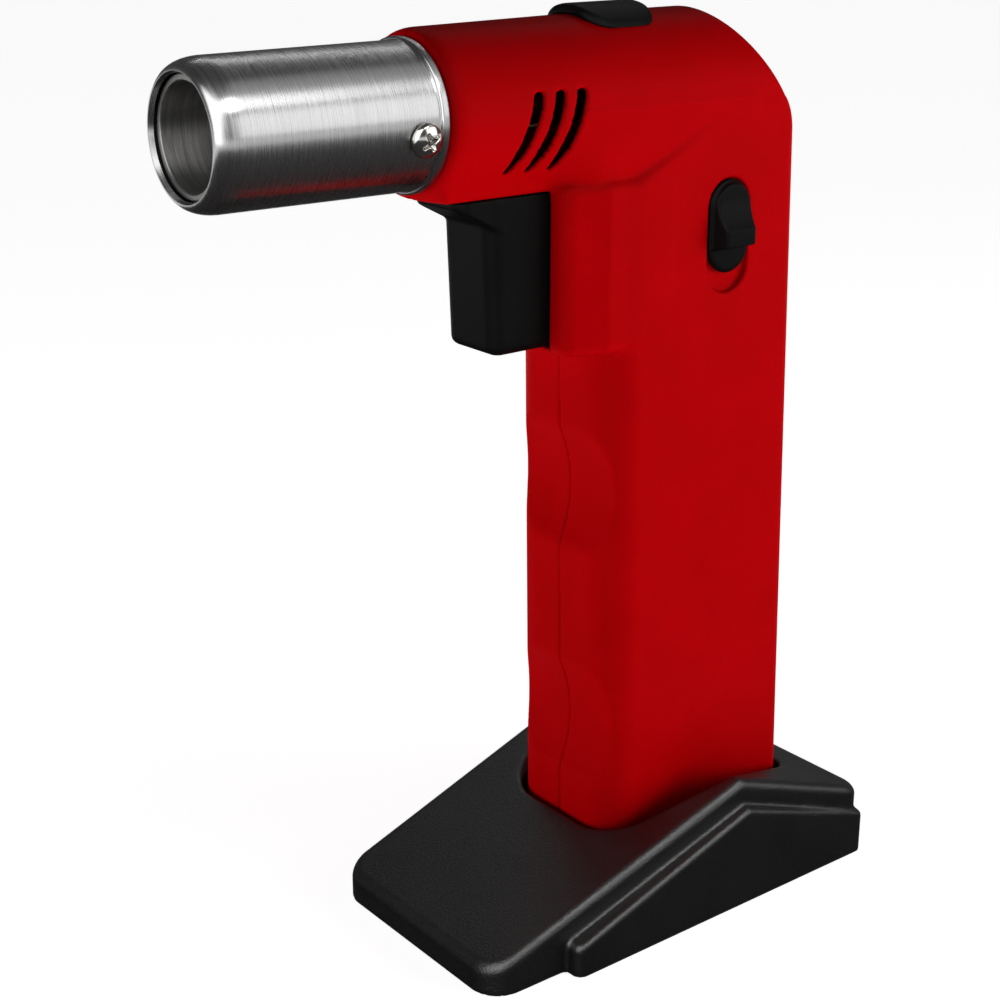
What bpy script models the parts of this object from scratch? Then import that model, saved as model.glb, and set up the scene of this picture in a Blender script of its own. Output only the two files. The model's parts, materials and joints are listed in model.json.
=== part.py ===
"""Butane torch standing in a slip-on foot, modelled as separate pieces.

Sizes are in millimetres here and become metres when a mesh is made.
The barrel points to -X, +Z is up, and the torch's left side faces -Y.
"""
import math

import bmesh
import bpy
from mathutils import Matrix, Vector

METRES = 0.001
WELD = 0.0005 * METRES
FIT = 0.3  # gap between pieces that touch
BURY = 1.0  # how far a rib or boss reaches into the wall that carries it
BEYOND = 60.0  # how far cutters reach past the object

# Barrel and burner, turned about one axis
AXIS_Z = 172.1
NOSE_X = -74.5
BODY_FRONT_X = -28.7
BARREL_RADIUS = 13.45
BARREL_NOSE_RADIUS = 13.2
BARREL_WALL = 0.9
BARREL_BEAD_RADIUS = 14.05
BARREL_BEAD_LENGTH = 1.7
NOSE_MOUTH_RADIUS = 11.5
NOSE_ROUNDING = 4.0
SLEEVE_WALL = 1.4
SLEEVE_INTO_BARREL = 14.0
SLEEVE_FLANGE_LENGTH = 2.0
SLEEVE_FLANGE_STEP = 0.8
BURNER_WALL = 1.2
BURNER_RECESS = 1.4
BURNER_OVERLAP = 6.0
HOLDER_DEPTH = 22.0
HOLDER_LENGTH = 5.0
HOLDER_PORTS = 8
HOLDER_PORT_RADIUS = 1.2
HOLDER_PORT_CIRCLE = 6.6
MIXER_RADIUS = 4.0
MIXER_WALL = 1.0
MIXER_AIR_RADIUS = 1.2
MIXER_AIR_SETBACK = 6.0
JET_X = 0.0
JET_RADIUS = 4.5
JET_LENGTH = 10.0
JET_SPIGOT_LENGTH = 3.5
JET_TAIL_RADIUS = 1.6
JET_TAIL_LENGTH = 6.0
JET_ORIFICE_RADIUS = 0.5
SCREW_HEAD_RADIUS = 2.8
SCREW_HEAD_HEIGHT = 1.7
SCREW_SHANK_RADIUS = 1.4
BARREL_SCREW_SETBACK = 5.0
BARREL_SCREW_DROP_DEG = 10.0
INSULATOR_RADIUS = 1.5
INSULATOR_LENGTH = 24.0
ELECTRODE_RADIUS = 0.5
ELECTRODE_STICK_OUT = 5.0

# Housing: barrel body, handle, trigger block and hump
WALL = 2.2
SPLIT_GAP = 0.3
BODY_LIP_RADIUS = 14.2
BODY_FRONT_RADIUS = 15.4
BODY_RADIUS = 16.05
BODY_LIP_LENGTH = 3.4
BODY_TAPER_END_X = 16.0
BODY_REAR_X = 50.9
FRONT_WALL = 5.0
HANDLE_HALF_WIDTH = 16.0
HANDLE_BOTTOM_Z = 9.3
HANDLE_FRONT_BOTTOM_X = 9.3
HANDLE_FRONT_TOP_X = 7.1
HANDLE_REAR_BOTTOM_X = 61.5
HANDLE_REAR_TOP_X = 56.4
HANDLE_FRONT_ROUND = 8.0
HANDLE_REAR_ROUND = 3.0
GROOVE_CENTRES_Z = (94.0, 42.0)
GROOVE_RADIUS = 28.0
GROOVE_DEPTH = 3.0
SHOULDER_Z = 157.6
SHOULDER_X = 12.0
SHOULDER_SLOPE = 0.53
BLOCK_FRONT_X = -0.9
BLOCK_FRONT_HALF = 13.0
BLOCK_FLARE_X = 7.2
BLOCK_BOTTOM_Z = 124.9
BLOCK_INSET = 0.2
BLOCK_EDGE = 1.5
BLOCK_FLOOR = 1.0
CHIN_FRONT_X = -26.8
CHIN_HALF = 9.0
CHIN_BOTTOM_Z = 157.0
HUMP_TOP_X = 40.8
HUMP_FOOT_X = 55.4
HUMP_FOOT_Z = 166.0
HUMP_ROUND = 4.0
HUMP_CLEAR = 0.4
SLOT_TOPS_X = (-9.9, -4.9, 0.1)
SLOT_TOP_Z = 176.3
SLOT_BOTTOM_Z = 161.6
SLOT_LEAN = 5.3
SLOT_BOW = 0.5
SLOT_WIDTH = 1.6
SLOT_INNER_Y = 8.0
RIB = 2.0
BOSS_RADIUS = 3.0
BOSS_WALL = 1.5
SCREW_SINK = 6.0
SCREW_BITE = 9.0
HOUSING_SCREWS = ((42.0, 172.0), (53.0, 121.0), (17.0, 118.5), (17.0, 16.6), (54.0, 16.6))

# Trigger and ignition
TRIGGER_HALF = 7.8
TRIGGER_FRONT_X = -14.6
TRIGGER_LEAN = 1.3
TRIGGER_REAR_X = 2.0
TRIGGER_BOTTOM_Z = 126.2
TRIGGER_ROUND = 2.8
TRIGGER_WALL = 2.0
TRIGGER_LIP_X = -24.0
TRIGGER_LIP_TIP = 1.9
TRIGGER_LIP_ROOT = 4.8
TRIGGER_TRAVEL = 6.0
PIEZO_DROP = 14.3  # below the valve
PIEZO_FRONT_X = 12.0
PIEZO_LENGTH = 24.0
PIEZO_SIDE = 8.0
PIEZO_TERMINAL_RADIUS = 1.2
PIEZO_TERMINAL_LENGTH = 2.0
PLUNGER_RADIUS = 2.3
PLUNGER_REACH = 2.0
PIEZO_BORE_DEPTH = 10.0
SPRING_WIRE = 0.35
SPRING_TURNS = 5
LEAD_RADIUS = 0.7

# Valve, lever and flame slider
LEVER_X = 12.0
LEVER_RISE = 4.5  # above the valve
LEVER_THICK = 2.4
LEVER_HALF = 3.5
LEVER_EYE_RADIUS = 2.8
LEVER_REACH = 14.0
LEVER_PAD_LOW = 14.0
LEVER_PAD_HIGH = 11.5
LEVER_PAD_HALF = 2.5
LEVER_SLACK = 0.5
PIN_RADIUS = 1.3
VALVE_DROP = 24.6  # below the barrel's axis
VALVE_FRONT_X = 20.0
VALVE_RADIUS = 5.0
VALVE_NECK_X = 34.0
VALVE_NECK_RADIUS = 3.4
VALVE_NECK_LENGTH = 10.0
VALVE_OUTLET_X = 27.0
VALVE_OUTLET_RADIUS = 1.8
VALVE_OUTLET_RISE = 10.5
INLET_LENGTH = 8.0
INLET_PIPE_RADIUS = 3.0
STEM_RADIUS = 1.4
STEM_HEAD_RADIUS = 2.4
STEM_TIP_X = 14.0
STEM_LENGTH = 12.0
STEM_BORE_DEPTH = 9.0
HOSE_RADIUS = 1.5
COLLAR_RADIUS = 6.2
COLLAR_ARM = 10.4
COLLAR_ARM_THICK = 2.2
COLLAR_BALL_RADIUS = 1.5
SLIDER_X = 37.95
SLIDER_HALF = 5.3
SLIDER_RISE = 8.5  # from the valve to the slider's top
SLIDER_DROP = 10.2  # from the valve to its bottom
SLIDER_TRAVEL = 3.8
SLIDER_SINK = 1.2
SLIDER_PROUD = 0.3
SLIDER_CREST_HEIGHT = 3.0
SLIDER_CREST_DROP = 1.3
SLIDER_CREST_FLAT = 3.2
SLIDER_STEM_HALF = 2.2
SLIDER_STEM_REACH = 4.0  # above and below the valve
SLIDER_PLATE = 1.2
SLIDER_FORK_THICK = 2.2

# Lock button on top
LOCK_FRONT_X = 11.0
LOCK_REAR_X = 24.8
LOCK_HALF = 7.0
LOCK_PROUD = 1.15
LOCK_ROUND = 2.0
LOCK_STEM_HALF = 2.0
LOCK_STEM_LENGTH = 5.0
LOCK_TRAVEL = 4.0
LOCK_CLIP_HALF = 4.0
LOCK_CLIP_THICK = 1.5

# Fuel tank and filler valve
TANK_GAP = 0.4
TANK_WALL = 1.8
TANK_BOTTOM_Z = 24.0
TANK_TOP_Z = 108.0
TANK_CORNER = 5.0
GASKET_THICK = 1.0
LID_THICK = 2.4
LID_PLUG = 6.0
DIP_X = 45.0
DIP_RADIUS = 1.9
DIP_WALL = 0.7
DIP_FOOT_Z = 30.0
FILLER_X = 35.0
FILLER_RADIUS = 4.2
FILLER_SINK = 0.7
FILLER_FLANGE_RADIUS = 6.0
FILLER_FLANGE_THICK = 3.0
FILLER_SEAL_THICK = 1.0
FILLER_SPIGOT_RADIUS = 3.2
FILLER_SPIGOT_TOP_Z = 30.0
FILLER_BORE_RADIUS = 2.3
FILLER_BORE_TOP = 2.5
FILLER_LIP = 1.5
FILLER_STEM_RADIUS = 1.1
FILLER_STEM_COLLAR = 1.4
FILLER_STEM_TAIL = 3.0
FILLER_WIRE = 0.25
FILLER_TURNS = 4

# Stand
STAND_FRONT_X = -30.6
STAND_REAR_X = 74.5
STAND_EDGE_HEIGHT = 6.5
STAND_SLOPE = 0.336
STAND_PEAK_X = 36.4
STAND_REAR_HEIGHT = 15.6
STAND_FRONT_HALF = 27.0
STAND_PEAK_HALF = 29.0
STAND_REAR_HALF = 31.2
STAND_CORNER = 6.5
STAND_EDGE = 2.0
WING_FRONT_X = -11.5
WING_HALF = 31.5
WING_DROP = 5.8
STAND_WALL = 2.5
SOCKET_CLEAR = 1.3
SOCKET_FLOOR_Z = 9.0
SOCKET_FLOOR = 2.8
SOCKET_LEAD_Z = 19.5
FOOT_RADIUS = 4.5
FOOT_HEIGHT = 2.4
FOOT_PROUD = 0.2
FOOT_POST = 1.8
FOOT_PLACES = ((-20.0, -18.0), (-20.0, 18.0), (62.0, -21.0), (62.0, 21.0))

FINE_SIDES = 40
INNER_SIDES = 32
MEDIUM_SIDES = 16
COARSE_SIDES = 10


# Values that follow from the sizes above
BARREL_REAR_X = BODY_FRONT_X - FIT
SLEEVE_RADIUS = BARREL_RADIUS - BARREL_WALL - FIT
SLEEVE_BORE = SLEEVE_RADIUS - SLEEVE_WALL
SLEEVE_FRONT_X = BARREL_REAR_X - SLEEVE_INTO_BARREL
SLEEVE_FLANGE_X = BODY_FRONT_X + FRONT_WALL + FIT
SLEEVE_REAR_X = SLEEVE_FLANGE_X + SLEEVE_FLANGE_LENGTH + FIT + RIB
BURNER_RADIUS = SLEEVE_BORE - FIT
BURNER_BORE = BURNER_RADIUS - BURNER_WALL
BURNER_FRONT_X = NOSE_X + BURNER_RECESS
BURNER_REAR_X = SLEEVE_FRONT_X + BURNER_OVERLAP
HOLDER_X = BURNER_FRONT_X + HOLDER_DEPTH
INSULATOR_BORE = ELECTRODE_RADIUS + FIT
SPARK_Z = AXIS_Z + HOLDER_PORT_CIRCLE
VALVE_Z = AXIS_Z - VALVE_DROP
VALVE_OUTLET_Z = VALVE_Z + VALVE_OUTLET_RISE
PIEZO_Z = VALVE_Z - PIEZO_DROP
LEVER_Z = VALVE_Z + LEVER_RISE
SLIDER_TOP_Z = VALVE_Z + SLIDER_RISE
SLIDER_BOTTOM_Z = VALVE_Z - SLIDER_DROP
SLIDER_CREST_Z = VALVE_Z - SLIDER_CREST_DROP
SLIDER_STEM_TOP_Z = VALVE_Z + SLIDER_STEM_REACH
SLIDER_STEM_BOTTOM_Z = VALVE_Z - SLIDER_STEM_REACH
OPENING_TOP_Z = CHIN_BOTTOM_Z - 0.2
TRIGGER_TOP_Z = OPENING_TOP_Z - FIT
SPRING_RADIUS = PLUNGER_RADIUS + FIT + SPRING_WIRE + 0.2
PLUNGER_FRONT_X = TRIGGER_FRONT_X + TRIGGER_WALL + FIT
COLLAR_BORE = VALVE_NECK_RADIUS + FIT
INLET_X = VALVE_NECK_X + VALVE_NECK_LENGTH
SHELL_INNER_Y = HANDLE_HALF_WIDTH - WALL
LOCK_TOP_Z = AXIS_Z + BODY_RADIUS + LOCK_PROUD
LID_Z = TANK_TOP_Z + FIT + GASKET_THICK + FIT
FILLER_BOTTOM_Z = HANDLE_BOTTOM_Z + FILLER_SINK
FILLER_FLANGE_TOP_Z = TANK_BOTTOM_Z - FIT - FILLER_SEAL_THICK - FIT


def fresh_collections():
    """Empties the scene and returns collections for the parts and for the shapes that cut them."""
    for obj in list(bpy.data.objects):
        bpy.data.objects.remove(obj)
    made = []
    for name in ("butane_torch", "cutters"):
        collection = bpy.data.collections.new(name)
        bpy.context.scene.collection.children.link(collection)
        made.append(collection)
    return made


PARTS, CUTTERS = fresh_collections()


def weld(mesh):
    """Merges doubled points and turns every face outward."""
    form = bmesh.new()
    form.from_mesh(mesh)
    bmesh.ops.remove_doubles(form, verts=form.verts, dist=WELD)
    bmesh.ops.recalc_face_normals(form, faces=form.faces)
    form.to_mesh(mesh)
    form.free()


def settle(obj):
    """Turns the object's modifiers into plain mesh."""
    graph = bpy.context.evaluated_depsgraph_get()
    mesh = bpy.data.meshes.new_from_object(obj.evaluated_get(graph))
    obj.modifiers.clear()
    obj.data = mesh
    weld(mesh)
    return obj


def add(name, mesh, home):
    obj = bpy.data.objects.new(name, mesh)
    home.objects.link(obj)
    if home == CUTTERS:
        obj.hide_render = True
        obj.display_type = "WIRE"
    return obj


def lofted(name, rings, home=PARTS):
    """A closed skin through rings of points that all have the same count."""
    form = bmesh.new()
    loops = []
    for ring in rings:
        loops.append([form.verts.new(Vector(point) * METRES) for point in ring])
    for low, high in zip(loops, loops[1:]):
        for index in range(len(low)):
            form.faces.new((low[index - 1], low[index], high[index], high[index - 1]))
    form.faces.new(loops[0])
    form.faces.new(loops[-1])
    mesh = bpy.data.meshes.new(name)
    form.to_mesh(mesh)
    form.free()
    weld(mesh)
    return add(name, mesh, home)


def extruded(name, outline, low, high, along, home=PARTS):
    """An outline pulled along X, Y or Z; its points use the other two axes in order."""
    rings = []
    for level in (low, high):
        if along == "X":
            rings.append([(level, a, b) for a, b in outline])
        elif along == "Y":
            rings.append([(a, level, b) for a, b in outline])
        else:
            rings.append([(a, b, level) for a, b in outline])
    return lofted(name, rings, home)


def box(name, x, y, z, home=PARTS):
    outline = [(x[0], y[0]), (x[1], y[0]), (x[1], y[1]), (x[0], y[1])]
    return extruded(name, outline, z[0], z[1], "Z", home)


def turned(name, profile, centre, along, sides, home=PARTS, phase=0.0):
    """A profile of (distance along the axis, radius) points turned about an axis through centre.

    The phase turns its facets by a share of one side, so that they don't line up with a neighbour's.
    """
    count = len(profile)
    points = [Vector((radius, 0, distance)) * METRES for distance, radius in profile]
    edges = []
    for index in range(count):
        following = (index + 1) % count
        if profile[index][1] > 0 or profile[following][1] > 0:
            edges.append((index, following))
    mesh = bpy.data.meshes.new(name)
    mesh.from_pydata(points, edges, [])
    obj = add(name, mesh, home)
    screw = obj.modifiers.new("turn", "SCREW")
    screw.steps = sides
    screw.render_steps = sides
    screw.use_merge_vertices = True
    screw.merge_threshold = WELD
    settle(obj)
    turn = {"X": Matrix.Rotation(math.pi / 2, 4, "Y"), "Y": Matrix.Rotation(-math.pi / 2, 4, "X"), "Z": Matrix()}
    facets = Matrix.Rotation(2 * math.pi * phase / sides, 4, "Z")
    obj.data.transform(Matrix.Translation(Vector(centre) * METRES) @ turn[along] @ facets)
    return obj


def rod(name, radius, low, high, centre, along, sides=MEDIUM_SIDES, home=PARTS, phase=0.0):
    return turned(name, [(low, 0), (low, radius), (high, radius), (high, 0)], centre, along, sides, home, phase)


def hole(name, radius, low, high, centre, along, sides=MEDIUM_SIDES):
    """A rod that cuts a hole, its facets turned away from those of the rod that it may run through."""
    return rod(name, radius, low, high, centre, along, sides, CUTTERS, 0.5)


def pipe(name, radius, bore, low, high, centre, along, sides=MEDIUM_SIDES, home=PARTS, phase=0.0):
    profile = [(low, bore), (low, radius), (high, radius), (high, bore)]
    return turned(name, profile, centre, along, sides, home, phase)


def combine(obj, tool, operation):
    """Adds a Boolean; the tool is kept among the cutters."""
    change = obj.modifiers.new(tool.name, "BOOLEAN")
    change.operation = operation
    change.solver = "EXACT"
    change.object = tool
    return obj


def cut(obj, tool):
    return combine(obj, tool, "DIFFERENCE")


def join(obj, tool):
    return combine(obj, tool, "UNION")


def keep(obj, tool):
    return combine(obj, tool, "INTERSECT")


def rounded(corners, steps=4):
    """Points of a polygon whose corners, given as (a, b, radius), are replaced by arcs."""
    outline = []
    for index, (a, b, radius) in enumerate(corners):
        here = Vector((a, b))
        if radius == 0:
            outline.append((a, b))
            continue
        back = (Vector(corners[index - 1][:2]) - here).normalized()
        ahead = (Vector(corners[(index + 1) % len(corners)][:2]) - here).normalized()
        half = back.angle(ahead) / 2
        centre = here + (back + ahead).normalized() * radius / math.sin(half)
        start = here + back * radius / math.tan(half) - centre
        sweep = math.copysign(math.pi - 2 * half, ahead.x * back.y - ahead.y * back.x)
        for step in range(steps + 1):
            spoke = Matrix.Rotation(sweep * step / steps, 2) @ start
            outline.append((centre.x + spoke.x, centre.y + spoke.y))
    return outline


def obround(a, low, high, radius, steps=6):
    """Outline of a slot with round ends, standing along the second axis."""
    corners = [(a - radius, low, radius), (a + radius, low, radius)]
    corners += [(a + radius, high, radius), (a - radius, high, radius)]
    return rounded(corners, steps)


def tube_along(name, points, radius, home=PARTS):
    """A round cord along a smooth line through the points, with closed ends."""
    curve = bpy.data.curves.new(name, "CURVE")
    curve.dimensions = "3D"
    curve.bevel_depth = radius * METRES
    curve.bevel_resolution = 1
    curve.use_fill_caps = True
    spline = curve.splines.new("POLY")
    spline.points.add(len(points) - 1)
    for spot, point in zip(spline.points, points):
        spot.co = (*(Vector(point) * METRES), 1)
    obj = add(name, curve, home)
    graph = bpy.context.evaluated_depsgraph_get()
    mesh = bpy.data.meshes.new_from_object(obj.evaluated_get(graph))
    bpy.data.objects.remove(obj)
    weld(mesh)
    return add(name, mesh, home)


def smooth_line(points, pieces=5):
    """Points of a Catmull-Rom line through the given points."""
    knots = [Vector(point) for point in points]
    knots = [2 * knots[0] - knots[1]] + knots + [2 * knots[-1] - knots[-2]]
    line = []
    for first, start, end, last in zip(knots, knots[1:], knots[2:], knots[3:]):
        for piece in range(pieces):
            t = piece / pieces
            bend = (2 * first - 5 * start + 4 * end - last) * t * t
            twist = (3 * start - first - 3 * end + last) * t * t * t
            line.append(start + ((end - first) * t + bend + twist) / 2)
    line.append(knots[-2])
    return line


def coil(name, radius, wire, low, high, turns, centre, along):
    """A wound spring; prints the least gap between neighbouring curls."""
    points = []
    per_turn = 8
    closed = 0.75
    total = turns + 2 * closed
    pitch = (high - low - 2 * wire - 2 * closed * 2.4 * wire) / turns
    place = low + wire
    for step in range(round(total * per_turn) + 1):
        angle = 2 * math.pi * step / per_turn
        done = step / per_turn
        rise = 2.4 * wire * (min(done, closed) + max(0, done - closed - turns))
        rise += pitch * min(max(0, done - closed), turns)
        across = (radius * math.cos(angle), radius * math.sin(angle))
        if along == "X":
            points.append((place + rise, centre[1] + across[0], centre[2] + across[1]))
        else:
            points.append((centre[0] + across[0], centre[1] + across[1], place + rise))
    least = 1000.0
    for index, point in enumerate(points):
        for other in points[index + per_turn // 2:]:
            least = min(least, math.dist(point, other) - 2 * wire)
    print(f"{name}: least gap to itself {least:.2f} mm")
    return tube_along(name, points, wire)


def handle_front(z):
    share = (z - HANDLE_BOTTOM_Z) / (AXIS_Z - HANDLE_BOTTOM_Z)
    return HANDLE_FRONT_BOTTOM_X + share * (HANDLE_FRONT_TOP_X - HANDLE_FRONT_BOTTOM_X)


def handle_rear(z):
    share = (z - HANDLE_BOTTOM_Z) / (AXIS_Z - HANDLE_BOTTOM_Z)
    return HANDLE_REAR_BOTTOM_X + share * (HANDLE_REAR_TOP_X - HANDLE_REAR_BOTTOM_X)


def handle_ring(z, front, side, rear, front_round, rear_round):
    """Ring of the handle's section at height z, drawn in from its faces by the given amounts."""
    near = handle_front(z) + front
    far = handle_rear(z) - rear
    half = HANDLE_HALF_WIDTH - side
    corners = [(near, -half, front_round), (far, -half, rear_round)]
    corners += [(far, half, rear_round), (near, half, front_round)]
    return [(x, y, z) for x, y in rounded(corners, 5)]


def handle_loft(name, heights, front, side, rear, front_round, rear_round, home):
    rings = [handle_ring(z, front, side, rear, front_round, rear_round) for z in heights]
    return lofted(name, rings, home)


def build_barrel():
    centre = (0, 0, AXIS_Z)
    inner = BARREL_RADIUS - BARREL_WALL
    inner_nose = BARREL_NOSE_RADIUS - BARREL_WALL
    shoulder = NOSE_X + NOSE_ROUNDING
    profile = [(BARREL_REAR_X, inner)]
    profile += [(BARREL_REAR_X, BARREL_BEAD_RADIUS - 0.4), (BARREL_REAR_X - 0.4, BARREL_BEAD_RADIUS)]
    bead_front = BARREL_REAR_X - BARREL_BEAD_LENGTH
    profile += [(bead_front + 0.4, BARREL_BEAD_RADIUS), (bead_front, BARREL_RADIUS)]
    drop = BARREL_NOSE_RADIUS - NOSE_MOUTH_RADIUS
    for step in range(6):
        angle = math.pi / 2 * step / 5
        x = shoulder - NOSE_ROUNDING * math.sin(angle)
        profile.append((x, BARREL_NOSE_RADIUS - drop * (1 - math.cos(angle))))
    profile += [(NOSE_X + BARREL_WALL, NOSE_MOUTH_RADIUS - 0.1), (shoulder, inner_nose)]
    barrel = turned("barrel", profile, centre, "X", FINE_SIDES)

    profile = [(SLEEVE_FRONT_X, SLEEVE_BORE), (SLEEVE_FRONT_X, SLEEVE_RADIUS)]
    flange = SLEEVE_RADIUS + SLEEVE_FLANGE_STEP
    flange_end = SLEEVE_FLANGE_X + SLEEVE_FLANGE_LENGTH
    profile += [(SLEEVE_FLANGE_X, SLEEVE_RADIUS), (SLEEVE_FLANGE_X, flange), (flange_end, flange)]
    profile += [(flange_end, SLEEVE_RADIUS), (SLEEVE_REAR_X, SLEEVE_RADIUS), (SLEEVE_REAR_X, SLEEVE_BORE)]
    sleeve = turned("mount_sleeve", profile, centre, "X", MEDIUM_SIDES)

    screw_x = BARREL_REAR_X - BARREL_SCREW_SETBACK
    for number, side in ((1, -1), (2, 1)):
        turn = Matrix.Rotation(math.radians(BARREL_SCREW_DROP_DEG) * -side, 4, "X")
        if side < 0:
            turn = turn @ Matrix.Rotation(math.pi, 4, "Z")
        seat = BARREL_RADIUS + FIT
        profile = [(SLEEVE_BORE - 1, 0), (SLEEVE_BORE - 1, SCREW_SHANK_RADIUS), (seat, SCREW_SHANK_RADIUS)]
        profile += [(seat, SCREW_HEAD_RADIUS), (seat + 0.4 * SCREW_HEAD_HEIGHT, SCREW_HEAD_RADIUS)]
        profile += [(seat + 0.8 * SCREW_HEAD_HEIGHT, 0.75 * SCREW_HEAD_RADIUS)]
        profile += [(seat + SCREW_HEAD_HEIGHT, 0.4 * SCREW_HEAD_RADIUS), (seat + SCREW_HEAD_HEIGHT, 0)]
        screw = turned(f"barrel_screw_{number}", profile, (0, 0, 0), "Y", MEDIUM_SIDES)
        way = hole(f"barrel_screw_hole_{number}", SCREW_SHANK_RADIUS + FIT, 0, BEYOND, (0, 0, 0), "Y")
        for obj in (screw, way):
            obj.data.transform(Matrix.Translation(Vector((screw_x, 0, AXIS_Z)) * METRES) @ turn)
        cut(barrel, way)
        cut(sleeve, way)


def build_burner():
    centre = (0, 0, AXIS_Z)
    pipe("burner_tube", BURNER_RADIUS, BURNER_BORE, BURNER_FRONT_X, BURNER_REAR_X, centre, "X", FINE_SIDES)
    holder = pipe("flame_holder", BURNER_BORE - FIT, MIXER_RADIUS + FIT, HOLDER_X, HOLDER_X + HOLDER_LENGTH,
                  centre, "X", MEDIUM_SIDES, PARTS, 0.5)
    for port in range(HOLDER_PORTS):
        angle = 2 * math.pi * port / HOLDER_PORTS
        y = HOLDER_PORT_CIRCLE * math.sin(angle)
        z = AXIS_Z + HOLDER_PORT_CIRCLE * math.cos(angle)
        radius = HOLDER_PORT_RADIUS
        if port == 0:
            radius = INSULATOR_RADIUS + FIT
        end = HOLDER_X + HOLDER_LENGTH + 2
        cut(holder, hole(f"holder_port_{port}", radius, HOLDER_X - 2, end, (0, y, z), "X", COARSE_SIDES))
    mixer = pipe("mixing_tube", MIXER_RADIUS, MIXER_RADIUS - MIXER_WALL, HOLDER_X + 1, JET_X - FIT, centre, "X")
    air_x = JET_X - JET_SPIGOT_LENGTH - MIXER_AIR_SETBACK
    for axis in ("Y", "Z"):
        reach = 2 * MIXER_RADIUS
        cut(mixer, hole(f"mixer_air_{axis}", MIXER_AIR_RADIUS, -reach, reach, (air_x, 0, AXIS_Z), axis, COARSE_SIDES))
    spigot = MIXER_RADIUS - MIXER_WALL - FIT
    rear = JET_X + JET_LENGTH
    tail = rear + JET_TAIL_LENGTH
    profile = [(JET_X - JET_SPIGOT_LENGTH, JET_ORIFICE_RADIUS), (JET_X - JET_SPIGOT_LENGTH, spigot)]
    profile += [(JET_X, spigot), (JET_X, JET_RADIUS), (rear, JET_RADIUS), (rear, JET_TAIL_RADIUS)]
    profile += [(tail, JET_TAIL_RADIUS), (tail, JET_ORIFICE_RADIUS)]
    turned("gas_jet", profile, centre, "X", MEDIUM_SIDES)
    spark = (0, 0, SPARK_Z)
    front = HOLDER_X - 1
    pipe("electrode_insulator", INSULATOR_RADIUS, INSULATOR_BORE, front, front + INSULATOR_LENGTH, spark, "X", COARSE_SIDES)
    tip = front - ELECTRODE_STICK_OUT
    line = [(tip, 0, SPARK_Z + 1.2), (tip + 1.5, 0, SPARK_Z), (front + INSULATOR_LENGTH + 1, 0, SPARK_Z)]
    tube_along("electrode", line, ELECTRODE_RADIUS)


def hump_outline(draw_in):
    """Side outline of what is cut away behind the top of the barrel body."""
    top = AXIS_Z + BODY_RADIUS + HUMP_CLEAR
    slope = (HUMP_FOOT_X - HUMP_TOP_X) / (AXIS_Z + BODY_RADIUS - HUMP_FOOT_Z)
    start = HUMP_TOP_X - HUMP_CLEAR * slope - draw_in
    end = HUMP_FOOT_X + slope * 40 - draw_in
    corners = [(start - 12, top, 0), (start, top, HUMP_ROUND), (end, HUMP_FOOT_Z - 40, 0)]
    corners += [(end + BEYOND, HUMP_FOOT_Z - 40, 0), (end + BEYOND, top + BEYOND, 0), (start - 12, top + BEYOND, 0)]
    return rounded(corners)


def shoulder_outline(drop):
    """Side outline of what is cut away above the handle where it meets the round body."""
    rise = AXIS_Z + 1 - SHOULDER_Z
    end = SHOULDER_X + rise / SHOULDER_SLOPE
    corners = [(-BEYOND, SHOULDER_Z - drop), (SHOULDER_X, SHOULDER_Z - drop), (end, SHOULDER_Z + rise - drop)]
    corners += [(end, SHOULDER_Z + BEYOND), (-BEYOND, SHOULDER_Z + BEYOND)]
    return corners


def block_outline():
    """Plan outline of the block that carries the trigger, running back into the handle."""
    wide = HANDLE_HALF_WIDTH - BLOCK_INSET
    back = BLOCK_FLARE_X + HANDLE_HALF_WIDTH
    corners = [(BLOCK_FRONT_X, -BLOCK_FRONT_HALF, BLOCK_EDGE), (BLOCK_FLARE_X, -wide, 0), (back, -wide, 0)]
    corners += [(back, wide, 0), (BLOCK_FLARE_X, wide, 0), (BLOCK_FRONT_X, BLOCK_FRONT_HALF, BLOCK_EDGE)]
    return rounded(corners)


def housing_outside():
    centre = (0, 0, AXIS_Z)
    front = BODY_FRONT_X
    profile = [(front, 0), (front, BODY_LIP_RADIUS)]
    profile += [(front + 0.3 * BODY_LIP_LENGTH, 0.4 * BODY_LIP_RADIUS + 0.6 * BODY_FRONT_RADIUS)]
    profile += [(front + BODY_LIP_LENGTH, BODY_FRONT_RADIUS), (BODY_TAPER_END_X, BODY_RADIUS)]
    profile += [(BODY_REAR_X, BODY_RADIUS), (BODY_REAR_X, 0)]
    whole = turned("housing_whole", profile, centre, "X", FINE_SIDES, CUTTERS)
    heights = (HANDLE_BOTTOM_Z, AXIS_Z)
    handle = handle_loft("handle_outside", heights, 0, 0, 0, HANDLE_FRONT_ROUND, HANDLE_REAR_ROUND, CUTTERS)
    block = extruded("block_outside", block_outline(), BLOCK_BOTTOM_Z, SHOULDER_Z, "Z", CUTTERS)
    chin_top = AXIS_Z - 2
    chin = box("chin_outside", (CHIN_FRONT_X, BLOCK_FLARE_X), (-CHIN_HALF, CHIN_HALF), (CHIN_BOTTOM_Z, chin_top), CUTTERS)
    above = extruded("shoulder_cutter", shoulder_outline(0), -BEYOND, BEYOND, "Y", CUTTERS)
    cut(handle, above)
    for z in GROOVE_CENTRES_Z:
        x = handle_front(z) + GROOVE_DEPTH - GROOVE_RADIUS
        groove = rod(f"groove_{z:.0f}", GROOVE_RADIUS, -BEYOND, BEYOND, (x, 0, z), "Y", FINE_SIDES, CUTTERS)
        cut(handle, groove)
    for piece in (handle, block, chin):
        join(whole, piece)
    cut(whole, extruded("hump_cutter", hump_outline(0), -BEYOND, BEYOND, "Y", CUTTERS))
    return whole


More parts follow.
